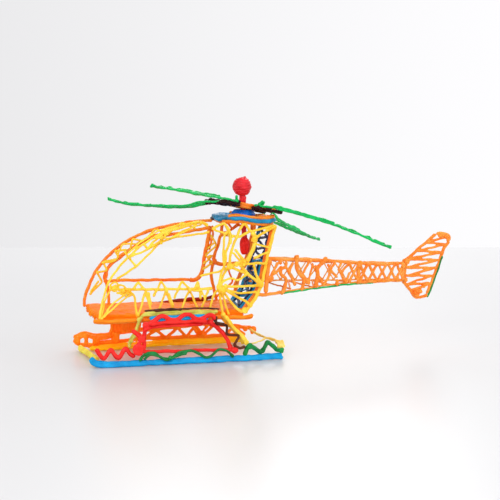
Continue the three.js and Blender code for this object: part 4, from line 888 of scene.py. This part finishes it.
def fin():
    front = [(74, 45.4), (76.2, 46.4), (84.2, 52.8), (90.2, 57.5), (93, 60)]
    crown = [(93, 60), (95.6, 60.4), (99.6, 59.6), (101, 58.4), (100.7, 55.8)]
    rear = [(100.7, 56), (98.4, 52.6), (96, 46.6), (93.6, 40), (91, 33), (88.4, 27.2)]
    foot = [(88.4, 27.2), (87, 26), (82.4, 25.6), (80.4, 27.2), (77.6, 31), (74.4, 34.8)]
    rows = []
    count = 13
    for i in range(count + 1):
        z = 58 + (29.6 - 58) * i / count
        slope = 0.5 + 2.2 * i / count
        if i % 2:
            at = z - 0.6
            x = 76.2 + (at - 46.4) * 1.23 if at > 46 else 75.6 if at > 35 else 75.2 + (35 - at) * 0.82
            rows.append((x + 0.2, z - slope / 2))
        else:
            rows.append((100.6 - (58 - z) * 0.4, z + slope / 2))
    strokes = [
        ("line", HEAVY, front), ("line", HEAVY, crown), ("line", HEAVY, rear), ("line", HEAVY, foot),
        ("zig", THICK, [(76.2, 46.6), (75.4, 41.6), (74.6, 34.6)]),
        ("zig", MEDIUM, rows),
        ("line", MEDIUM, [(79.4, 29.6), (83, 30.8), (87.4, 31.4)]),
        ("line", MEDIUM, [(94, 58.6), (97, 59), (99.4, 57.2)]),
    ]
    lumps = [(82.4, 27.8, 2.3), (84.6, 28.6, 1.3), (76, 45.4, 1.7), (75.2, 35.4, 1.4), (98.6, 58.4, 1.4),
             (99.4, 56.4, 1.1)]
    draw("tail_fin", upright(0), strokes, lumps)
    edge = [("line", FINE, [(97.0, 48), (94.5, 40.4), (92.3, 34.6), (89.5, 27.4), (88.3, 25.2)])]
    draw("fin_edge_strand", upright(-0.8), edge)


# ---------------------------------------------------------------- skids

BACK = SKID_NEAR_Y + SKID_LAYER
FRONT = SKID_NEAR_Y - SKID_LAYER


def runner(node, y, passes, strays=()):
    """A runner laid in several passes side by side, with stray strands, its sole flat on the ground."""
    weave = Weave(node + "_strands", None)
    for shift, radius, points in passes:
        weave.space(radius, [(x, y + shift, z) for x, z in points])
    for radius, points in strays:
        weave.space(radius, points)
    piece = build(weave, node)
    for vertex in piece.data.vertices:
        vertex.co.z = max(vertex.co.z, 0)
    return piece


def near_skid():
    runner("near_runner", SKID_NEAR_Y, [
        (-0.45, 1.05, [(-95.4, 5.0), (-94.4, 2.4), (-91, 1.0), (-66, 1.0), (-20, 1.0), (1.4, 1.1)]),
        (0.45, 1.05, [(-95.2, 4.6), (-94, 2.2), (-90, 1.0), (-60, 1.0), (-24, 1.0), (1.2, 1.2)]),
        (0.0, 1.0, [(-95.0, 5.4), (-93.4, 3.2), (-88, 2.2), (-40, 2.2), (-10, 2.2), (0.8, 2.7)]),
    ])

    frame_strokes = [
        ("line", THICK, [(-92.4, 9.6), (-90.6, 6.0), (-88.6, 4.3), (-86, 8.4), (-85.2, 8.6), (-83.2, 5.4),
                         (-81.6, 4.3), (-79.2, 8.0), (-78, 9), (-75.6, 5.6), (-73.4, 4.6)]),
        ("zig", THICK, [(-73.2, 6.4), (-69.4, 8.4), (-68.4, 19.6)]),
        ("line", THICK, [(-69, 19.6), (-56, 20.2), (-44, 20.4), (-35.6, 20.2)]),
        ("line", MEDIUM, [(-68.6, 18.8), (-56, 19.4), (-40, 19.6)]),
        ("line", THICK, [(-36.4, 20.6), (-32, 17), (-27.8, 11.6), (-25.4, 6.4)]),
        ("line", HEAVY, [(-73.6, 7.4), (-60, 6.6), (-40, 6.4), (-23, 6)]),
        ("zig", THICK, [(-75, 18), (-70.2, 13.6)]),
        ("zig", HEAVY, [(-73.6, 8.4), (-69, 15.4)]),
        ("line", HEAVY, [(-72.6, 12), (-70.4, 9), (-74.2, 6.8), (-70, 6.4)]),
    ]
    lumps = [(-72.2, 8.4, 3.1), (-70.6, 13.4, 2.0), (-23.8, 6, 2.0), (-68.2, 20.2, 2.0), (-68.6, 17.6, 1.5),
             (-36, 20.6, 1.5)]
    draw("near_skid_frame", upright(SKID_NEAR_Y), frame_strokes, lumps)

    wave = [("line", THICK, [(-68.4, 20.0), (-65.2, 21.6), (-61.4, 24.4), (-59.2, 24.6), (-56, 22.4),
                             (-53.6, 22.2), (-49.2, 24.8), (-46.6, 24.9), (-43.4, 22.4), (-41, 22.3),
                             (-36.8, 24.2), (-34.6, 23.6), (-34.4, 21.4)]),
            ("line", HEAVY, [(-66, 20.6), (-60, 21.4), (-52, 21.2), (-44, 21.6), (-38, 21.4)])]
    draw("near_skid_wave", upright(FRONT), wave)

    band = [("line", 0.85, [(-76.4, 9.6), (-75.6, 12.4), (-73.4, 16.4), (-70.8, 22.4), (-69, 25),
                            (-66, 25.8), (-50, 25.9), (-31.8, 25.3)]),
            ("line", FINE, [(-70, 24.6), (-58, 24.7), (-45, 24.7), (-33.4, 24.3)]),
            ("zig", MEDIUM, [(-73, 15.6), (-75.8, 11.8), (-76.4, 8.8)])]
    draw("near_skid_band", upright(BACK), band, [(-71.4, 22.6, 1.4), (-75.4, 12.4, 1.3)])

    strut = [("zig", THICK, [(-30, 24.6), (-26.2, 18.9), (-21.8, 13.6), (-18.4, 8.4)]),
             ("line", THICK, [(-28.6, 23.4), (-24.6, 17.2), (-19.8, 12.6), (-17.0, 8.4)]),
             ("line", HEAVY, [(-27, 20.4), (-22.4, 15), (-18.6, 10.2)])]
    draw("near_skid_strut", upright(BACK), strut, [(-17.8, 9.2, 1.6)])

    cap = [("line", FINE, [(-68.8, 26.8), (-62, 27.3), (-48, 27.3), (-38, 27.2), (-30.8, 26.4)]),
           ("line", FINE, [(-64, 26.8), (-56, 27.0), (-50, 26.8)])]
    draw("near_skid_top_line", upright(BACK), cap)
    blue = [("line", HEAVY, [(-66.4, 23.2), (-58, 23.6), (-47, 23.7), (-38, 23.5)]),
            ("line", HEAVY, [(-65.6, 22.2), (-56, 22.5), (-44, 22.5), (-37, 22.4)])]
    draw("near_skid_blue_strand", upright(BACK - 0.6), blue)

    brown = [("zig", MEDIUM, [(-33.6, 23.8), (-33.2, 19.6), (-27.9, 18.8), (-28.2, 14.2), (-21.4, 13.2),
                              (-24.6, 8.4), (-21.4, 6.9), (-18.4, 7.6)]),
             ("zig", LIGHT, [(-35.2, 22.6), (-33.6, 20.4), (-29, 19.6)])]
    draw("near_skid_brown_zigzag", upright(FRONT), brown, [(-23.8, 8.6, 1.0)])

    rear = [("zig", THICK, [(-16.7, 7.8), (-19, 2.4)]),
            ("zig", THICK, [(-16.2, 8), (-10.2, 3.8), (-6.8, 9.6), (-2.4, 4.9), (0.8, 4.6)]),
            ("line", MEDIUM, [(-15.6, 8.2), (-11.4, 5.2), (-9.6, 4.4), (-7.2, 9.4), (-5.4, 8.2)]),
            ("line", HEAVY, [(-2.6, 4.6), (-0.4, 5.4), (0.9, 4.0)])]
    draw("near_skid_rear_zigzag", upright(SKID_NEAR_Y), rear, [(-16.6, 7.8, 1.8), (-0.2, 4.8, 1.6)])

    creep = [("line", MEDIUM, [(-71.6, 2.4), (-70.2, 4.4), (-67.6, 6.4), (-64.4, 6.4), (-60.6, 3.6),
                               (-56.4, 3.4), (-51, 6.3), (-46, 6.6), (-41.6, 4.6), (-38.6, 3.0),
                               (-35.4, 4.0), (-31.6, 6.9), (-27.6, 5.2), (-24.4, 2.4)]),
             ("line", LIGHT, [(-69.6, 3.2), (-66, 5.4), (-62, 4.6), (-58, 2.8), (-53.4, 4.2), (-48, 5.6)])]
    draw("near_runner_wave", upright(FRONT + 0.2), creep, [(-56.6, 3.8, 1.2)])


def far_skid():
    strays = [
        (1.0, [(-93.4, 16.8, 1.3), (-86, 16.6, 1.0), (-74, 18.6, 1.0), (-60, 21, 1.0), (-50, 22.4, 1.1)]),
        (0.95, [(-92.6, 18.8, 1.4), (-84, 18.8, 1.2), (-70, 20.6, 1.2), (-58, 22, 1.2)]),
    ]
    runner("far_runner", SKID_FAR_Y, [
        (-0.5, 1.1, [(-95.6, 3.0), (-92, 1.1), (-60, 1.1), (-24, 1.1), (-7, 1.2)]),
        (0.5, 1.1, [(-95.2, 2.6), (-91, 1.1), (-55, 1.1), (-28, 1.1), (-7.4, 1.2)]),
        (0.0, 0.9, [(-95.4, 3.2), (-90, 2.0), (-60, 2.0), (-30, 2.1), (-8, 2.2)]),
        (-0.2, 0.8, [(-60, 2.6), (-46, 3.0), (-32, 3.1), (-12, 3.0)]),
    ], strays)
    truss = [
        ("line", THICK, [(-101.4, 6.6), (-99.6, 7.4), (-95.6, 8.6), (-91.7, 7.6), (-86, 7.4),
                         (-81.9, 7.9), (-79.6, 10.5)]),
        ("line", THICK, [(-100.4, 5.6), (-98.6, 6.6), (-95.6, 7.6), (-91.7, 6.8), (-86, 6.2), (-81, 6.6)]),
        ("line", THICK, [(-101.2, 6.2), (-98.6, 3), (-94, 2.2), (-90, 2.2), (-86.6, 3.4), (-79.1, 3.4),
                         (-71.1, 4.2), (-60, 4.5), (-30, 4.5), (-8, 4.7)]),
        ("zig", THICK, [(-99, 3.4), (-98.8, 7)]),
        ("zig", THICK, [(-94.8, 2.4), (-94.8, 8)]),
        ("zig", THICK, [(-90.5, 2.4), (-90.3, 7.2)]),
        ("zig", THICK, [(-88.8, 3), (-88.4, 7)]),
        ("line", THICK, [(-81, 7.6), (-70, 9.0), (-60.7, 9.4), (-39, 10.8), (-27.9, 11), (-12, 9.2),
                         (-4.6, 8.0)]),
        ("line", HEAVY, [(-70, 9.8), (-52, 10.8)]),
        ("zig", HEAVY, [(-68.4, 8.8), (-64, 4.6), (-57.6, 9), (-52, 4.6), (-45.6, 10), (-41.4, 4.6),
                        (-35.6, 10.4), (-31.8, 4.8), (-26, 10.6), (-20, 4.8), (-14.4, 9), (-9, 4.8)]),
        ("zig", MEDIUM, [(-38, 10.4), (-34, 5), (-29, 10.4)]),
    ]
    lumps = [(-99.6, 6, 1.7), (-3.9, 7.0, 2.2), (-13.8, 8.5, 1.7), (-86.6, 6, 1.6), (-94.6, 7.8, 1.4),
             (-8.4, 7.8, 1.6), (-4.6, 5.6, 1.3)]
    draw("far_skid_truss", upright(SKID_FAR_Y - 0.8), truss, lumps)

    leg = Weave("far_front_leg_strands", upright(SKID_FAR_Y - 1.5))
    for i in range(9):
        share = i / 8
        leg.lay("line", 1.0, [(-81 + 14.4 * share, 22.4), (-80.6 + 13.4 * share, 14.4),
                              (-80 + 13.2 * share, 8.6)])
    for x, foot in ((-80.8, -80.8), (-79.6, -79.4), (-78.6, -78.2), (-69.6, -69.6), (-68.6, -68.4)):
        leg.lay("line", 0.95, [(x + 1.2, 9.4), (x + 0.3, 6), (foot, 3.2)])
    leg.lay("line", HEAVY, [(-82, 8.6), (-81.2, 11), (-81.2, 14.4), (-81.6, 21.6)])
    leg.lay("line", HEAVY, [(-66.4, 21.6), (-66.4, 14), (-67.4, 8), (-68.4, 3.4)])
    build(leg, "far_front_leg")

    brace = [
        ("zig", HEAVY, [(-27.6, 22.4), (-20.6, 13.6), (-13.6, 6)]),
        ("zig", LIGHT, [(-20, 22.2), (-19.2, 14.6), (-12, 6.2), (-14, 5.8)]),
        ("zig", LIGHT, [(-20.6, 14), (-18.8, 14.8)]),
    ]
    draw("far_rear_leg", upright(SKID_FAR_Y - 1.6), brace)


def cross_ties():
    front = Weave("front_cross_tie_strands", None)
    front.space(THICK, [(-97.6, 20.6, 2.2), (-98.2, 15, 1.7), (-96.4, 7, 1.7), (-94.4, -2, 1.8),
                        (-92.6, -10, 1.9), (-92.4, -18, 2.6), (-93.4, -22.4, 3.8)])
    front.space(MEDIUM, [(-94.9, 8, 1.6), (-92.6, 0, 1.3), (-90.6, -9, 1.3), (-91.6, -14, 1.7)])
    front.space(HEAVY, [(-97.4, 16, 2.6), (-95.4, 6, 2.6), (-93.6, -4, 2.7), (-92.2, -12, 2.8)])
    build(front, "front_cross_tie")

    rear = Weave("rear_cross_tie_strands", None)
    rear.space(LIGHT, [(-6, 22, 7.6), (-4, 14, 6.6), (-1.5, 4, 6.2), (1, -6, 6.6), (1.6, -14, 7),
                       (2.2, -20, 5.6), (1.2, -24.2, 4.4)])
    rear.space(LIGHT, [(-5, 22, 7.0), (-3.2, 12, 6.0), (0.4, 0, 5.8), (2.4, -10, 6.0), (2.8, -18, 5.0)])
    rear.space(FINE, [(-16.6, -24.0, 8.4), (-10, -12, 6.6), (-2, 0, 6.2)])
    for i in range(5):
        x = 0.2 + i * 0.7
        rear.space(MEDIUM, [(x, -13.6, 7.4), (x + 0.3, -16.4, 6.6), (x, -20.4, 5.2)])
    build(rear, "rear_cross_tie")


# ---------------------------------------------------------------- rotor

BLADE_ROOT = 7.6
BLADE_WIDE = 3.4
BLADE_SWELL = 3  # how fast a blade widens from its root
BLADE_TAPER = 3.2  # how fast it narrows to its tip
BLADE_LACES = 17
# How far out along a blade its heights over the hub's centre are given, the last one at its tip.
BLADE_STATIONS = (BLADE_ROOT, 22.8, 27, 32, 44, 58, 72)
# A blade's name, its turn round the hub, its length, and its heights.
BLADES = (
    ("tail_far", 44 - 17, 86.8, (1.1, 1.1, -1.4, -3.5, -5.1, -6.4, -7.6, -8.4)),
    ("nose_far", 140 - 17, 85.0, (0.9, -1.5, -2.9, -5.0, -6.8, -8.1, -9.2, -8.3)),
    ("nose_near", 228 - 17, 84.5, (1.1, 1.1, 0.7, 0.4, -0.3, -0.6, -1.4, -2.5)),
    ("tail_near", 315 - 17, 86.8, (1.1, 1.1, 0.6, 0.3, -1.1, -2.9, -5.9, -9.4)),
)
CLAMP_START = 6.9
CLAMP_END = 20.5
LONG_CLAMP = 3.6  # how much further the tail-near clamp reaches
# Ends of strand that stand up from a blade: how far out and how far across.
BURRS = {"nose_near": ((10.6, 2.2),), "tail_near": ((9.2, 2.6), (10.6, -1.2))}


def rotor_axes():
    """The rotor's own x, y and z directions, its disc leaning back as the joint's axis says."""
    axis = np.array(JOINTS["rotor_spin"]["axis"], float)
    axis /= np.linalg.norm(axis)
    downhill = np.array((axis[0], axis[1], 0))
    downhill /= np.linalg.norm(downhill)
    along = downhill - axis * np.dot(downhill, axis)
    along /= np.linalg.norm(along)
    return along, np.cross(axis, along), axis


def on_rotor(turn, height):
    """Out along a blade at a turn, across it, and up by a height that depends on how far out."""
    ex, ey, ez = rotor_axes()
    out = math.cos(math.radians(turn)) * ex + math.sin(math.radians(turn)) * ey
    across = np.cross(ez, out)

    def place(r, side, w):
        rise = np.array([height(value) for value in r]) + w
        return HUB + r[:, None] * out + side[:, None] * across + rise[:, None] * ez

    return place


def blade(name, turn, length, heights):
    """A latticed blade, and the clamp of dark strand that welds its root to the hub."""

    def height(r):
        return np.mean(np.interp((r - 1.6, r, r + 1.6), (*BLADE_STATIONS, length), heights))

    def half(r):
        share = (r - BLADE_ROOT) / (length - BLADE_ROOT)
        swell, taper = 0.5 + share * BLADE_SWELL, (1 - share) * BLADE_TAPER + 0.02
        return BLADE_WIDE * max(0.04, min(1, swell, taper))

    weave = Weave("blade_" + name + "_strands", on_rotor(turn, height))
    stations = np.linspace(BLADE_ROOT, length, 14)
    for side in (-1, 1):
        weave.lay("line", LIGHT, [(r, side * half(r)) for r in stations])
    zig = []
    for i in range(BLADE_LACES + 1):
        r = BLADE_ROOT + (length - 5 - BLADE_ROOT) * i / BLADE_LACES
        zig.append((r + weave.rng.uniform(-1.2, 1.2), (1 if i % 2 else -1) * half(r)))
    weave.lay("zig", 0.42, zig)
    weave.lay("line", 0.42, [(r, weave.rng.uniform(0.3, 0.8) * half(r)) for r in stations[6:12]])
    weave.lay("line", LIGHT, [(r, -half(r) * 0.9) for r in stations[2:9]])
    for r, side in BURRS.get(name, ()):
        foot, across = np.array((r, r + 0.9, r + 1.4)), np.full(3, side)
        weave.space(MEDIUM, weave.place(foot, across, np.array((0.4, 1.8, 3.2))))
        weave.space(HEAVY, weave.place(foot - (0.8, 0.6, 0.9), across, np.array((0.2, 1.0, 1.9))))
    build(weave, "blade_" + name)

    def clamp_height(r):
        sag = float(np.interp(r, (8, 17.6, 20.6, 22.4), (0, -0.1, -0.8, -0.4)))
        return -0.55 + (sag if name == "nose_far" else 0)

    clamp = Weave("clamp_" + name + "_strands", on_rotor(turn, clamp_height))
    rows = 6
    wave = []
    end = CLAMP_END + (LONG_CLAMP if name == "tail_near" else 0)
    for i in range(rows + 1):
        r = CLAMP_START + (end - CLAMP_START) * i / rows
        out = 3.3 - 1.3 * i / rows
        wave.append((r, (1 if i % 2 else -1) * out * clamp.rng.uniform(0.7, 1.05)))
    clamp.lay("line", HEAVY, wave)
    clamp.lay("line", HEAVY, [(r + 0.8, -side) for r, side in wave[:-1]])
    if name == "nose_far":
        clamp.clear()
        clamp.lay("line", HEAVY, [(r, side * 0.7) for r, side in wave if r > 9], -0.25)
        clamp.lay("line", HEAVY, [(20.4, -1.4), (21.2, 0.4), (20.6, 1.6)], -0.9)
        clamp.lump(CLAMP_END + 0.6, 0.2, 1.9, 0.3)
    clamp.lump(end - 1.2, 0.2, 1.3, 0.0)
    clamp.lump(9, 2.4, 1.2, 0.2)
    build(clamp, "clamp_" + name)


def hub():
    ex, ey, ez = rotor_axes()
    weave = Weave("hub_plate_strands", None)
    for rise in (-0.7, 0.7):
        for radius in (5.7, 4.4, 3.3):
            ring = []
            for i in range(26):
                turn = 2 * math.pi * i / 25 * 1.02
                ring.append(HUB + radius * (math.cos(turn) * ex + math.sin(turn) * ey) + rise * ez)
            weave.space(0.8, ring)
    tail_near = on_rotor(298, lambda r: 0.35)
    for side in (0.5, -1.1):
        along = np.array((4.2, 8.0, 12.0, 16.0, 20.4))
        weave.space(0.56, tail_near(along, np.full(5, side), np.array((0.7, 0.6, 0.5, 0.3, 0.0))))
    build(weave, "hub_plate")


# ---------------------------------------------------------------- pin

PIN_BOTTOM = -17.3
PIN_TOP = 4.8
KNOB_Z = 10.1
KNOB_RADIUS = 4.1
STOP_Z = -21.2
STOP_HALF = 4.1


def pin_axes():
    axis = np.array(JOINTS["pin_spin"]["axis"], float)
    axis /= np.linalg.norm(axis)
    ex = np.cross((0, 1, 0), axis)
    ex /= np.linalg.norm(ex)
    return ex, np.cross(axis, ex), axis


def pin():
    ex, ey, ez = pin_axes()

    def at(radius, turn, height):
        return HUB + radius * (math.cos(turn) * ex + math.sin(turn) * ey) + height * ez

    shaft = Weave("pin_shaft_strands", None)
    for i in range(5):
        start = 2 * math.pi * i / 5
        count = 12
        points = []
        for k in range(count + 1):
            height = PIN_BOTTOM - 1 + (PIN_TOP - PIN_BOTTOM + 2.4) * k / count
            points.append(at(0.7 if height < 0 else 0.95, start + 0.9 * k / count, height))
        shaft.space(0.72, points)
        shaft.space(0.7, [at(1.25, start + 0.3 * k, 1.6 + 0.9 * k) for k in range(5)])
    build(shaft, "pin_shaft")

    knob = Weave("pin_knob_strands", None)
    turns = 9
    wound = []
    for i in range(turns * 16 + 1):
        share = i / (turns * 16)
        polar = math.pi * (0.06 + 0.9 * share)
        radius = KNOB_RADIUS * math.sin(polar) ** (0.7 if polar < 1.5 else 0.95)
        height = KNOB_Z - KNOB_RADIUS * math.cos(polar)
        wound.append(at(radius + 0.1 * math.sin(i * 1.7), 2 * math.pi * i / 16, height))
    knob.space(0.78, wound)
    for radius, rise in ((2.6, -2), (2.9, 0), (2.6, 2), (1.2, -3), (1.2, 3), (1.4, -1), (1.4, 1)):
        ring = [at(radius, 2 * math.pi * k / 12, KNOB_Z + rise) for k in range(13)]
        knob.space(1.2, ring)
    for start in (0.2, 1.5, 2.9):
        arc = [at(4.3 * math.sin(math.pi * k / 10) + 0.1, start, KNOB_Z + 4.3 * math.cos(math.pi * k / 10))
               for k in range(1, 10)]
        knob.space(0.6, arc)
    knob.space(0.9, [at(1.0, 0.0, KNOB_Z + 4.0), at(1.8, 0.3, KNOB_Z + 4.4), at(2.4, 0.0, KNOB_Z + 3.9)])
    build(knob, "pin_knob", voxel=0.22, smooth=2)

    stop = Weave("pin_stop_strands", None)
    for i in range(9):
        turn = 2 * math.pi * i / 9
        arc = []
        for k in range(9):
            polar = math.pi * k / 8
            height = STOP_Z + 0.2 + STOP_HALF * math.cos(polar)
            arc.append(at(2.0 * math.sin(polar) + 0.15, turn + 0.5 * k / 8, height))
        stop.space(0.72, arc)
    for radius, height in ((0.6, STOP_Z - 2), (0.8, STOP_Z), (0.6, STOP_Z + 2)):
        stop.space(1.0, [at(radius, 2 * math.pi * k / 10, height) for k in range(11)])
    build(stop, "pin_stop")


# ---------------------------------------------------------------- stage, light and camera


def stage_material():
    material = bpy.data.materials.new("pale_table")
    material.use_nodes = True
    nodes, links = material.node_tree.nodes, material.node_tree.links
    shader = nodes["Principled BSDF"]
    place = nodes.new("ShaderNodeTexCoord")
    cloud = nodes.new("ShaderNodeTexNoise")
    cloud.inputs["Scale"].default_value = 3
    links.new(place.outputs["Object"], cloud.inputs["Vector"])
    shade = nodes.new("ShaderNodeValToRGB")
    shade.color_ramp.elements[0].color = (0.69, 0.69, 0.695, 1)
    shade.color_ramp.elements[1].color = (0.73, 0.73, 0.73, 1)
    links.new(cloud.outputs["Fac"], shade.inputs["Fac"])
    links.new(shade.outputs["Color"], shader.inputs["Base Color"])
    shader.inputs["Roughness"].default_value = 0.32
    shader.inputs["IOR"].default_value = 1.4
    return material


TURN = math.radians(-12.5)  # the way the camera faces
PITCH = math.atan(0.1) + 0.0006  # how far it looks down
CAMERA_AT = np.array((-123.0, -507.7, 105.7))
TABLE = ((-1.6, -1.3), (1.6, -1.3), (1.6, 0.56), (-1.6, 0.56))  # metres across and away


def stage():
    """A pale table top that ends a little behind the model, square to the camera."""
    ahead = Vector((-math.sin(TURN), math.cos(TURN), 0))
    right = Vector((math.cos(TURN), math.sin(TURN), 0))
    corners = []
    for across, away in TABLE:
        corners.append(right * across + ahead * away + Vector((0, 0, -0.0002)))
    mesh = bpy.data.meshes.new("table")
    mesh.from_pydata([tuple(c) for c in corners], [], [(0, 1, 2, 3)])
    table = bpy.data.objects.new("table", mesh)
    table.data.materials.append(stage_material())
    bpy.context.scene.collection.objects.link(table)


def area_light(name, position, target, size, power, colour=(1, 1, 1)):
    data = bpy.data.lights.new(name, "AREA")
    data.shape = "DISK"
    data.size = size
    data.energy = power
    data.color = colour
    light = bpy.data.objects.new(name, data)
    light.location = position
    light.rotation_euler = (Vector(target) - Vector(position)).to_track_quat("-Z", "Y").to_euler()
    bpy.context.scene.collection.objects.link(light)


def backdrop(world):
    """A pale wall all round, brighter towards the camera's right."""
    world.use_nodes = True
    nodes, links = world.node_tree.nodes, world.node_tree.links
    place = nodes.new("ShaderNodeTexCoord")
    along = nodes.new("ShaderNodeVectorMath")
    along.operation = "DOT_PRODUCT"
    along.inputs[1].default_value = (math.cos(TURN), math.sin(TURN), 0)
    links.new(place.outputs["Generated"], along.inputs[0])
    grade = nodes.new("ShaderNodeMapRange")
    grade.interpolation_type = "SMOOTHSTEP"
    grade.inputs["From Min"].default_value = -0.45
    grade.inputs["From Max"].default_value = 0.32
    grade.inputs["To Min"].default_value = 0.8
    grade.inputs["To Max"].default_value = 1.0
    links.new(along.outputs["Value"], grade.inputs["Value"])
    background = nodes["Background"]
    background.inputs["Color"].default_value = (1, 0.995, 1.01, 1)
    links.new(grade.outputs["Result"], background.inputs["Strength"])


def light_and_camera():
    scene = bpy.context.scene
    scene.world = bpy.data.worlds.new("soft_white")
    backdrop(scene.world)
    scene.view_settings.view_transform = "Standard"
    middle = (0, 0, 0.05)
    area_light("key", (-0.45, -0.9, 0.5), middle, 0.6, 3.3)
    area_light("front", (-0.1, -1.0, 0.14), middle, 0.6, 1.3)
    area_light("fill", (0.75, -0.5, 0.45), middle, 0.7, 1.2)
    area_light("back", (0.25, 0.85, 0.6), middle, 0.6, 2.6)

    data = bpy.data.cameras.new("camera")
    data.lens = 72
    data.sensor_width = 36
    camera = bpy.data.objects.new("camera", data)
    camera.location = (CAMERA_AT + OFFSET) * MM
    camera.rotation_euler = (math.pi / 2 - PITCH, 0, TURN)
    scene.collection.objects.link(camera)
    scene.camera = camera


light_and_camera()
stage()
floor()
near_side()
far_side()
rear_wall()
roof()
boom()
fin()
near_skid()
far_skid()
cross_ties()
hub()
for blade_name, blade_turn, blade_length, blade_heights in BLADES:
    blade(blade_name, blade_turn, blade_length, blade_heights)
pin()
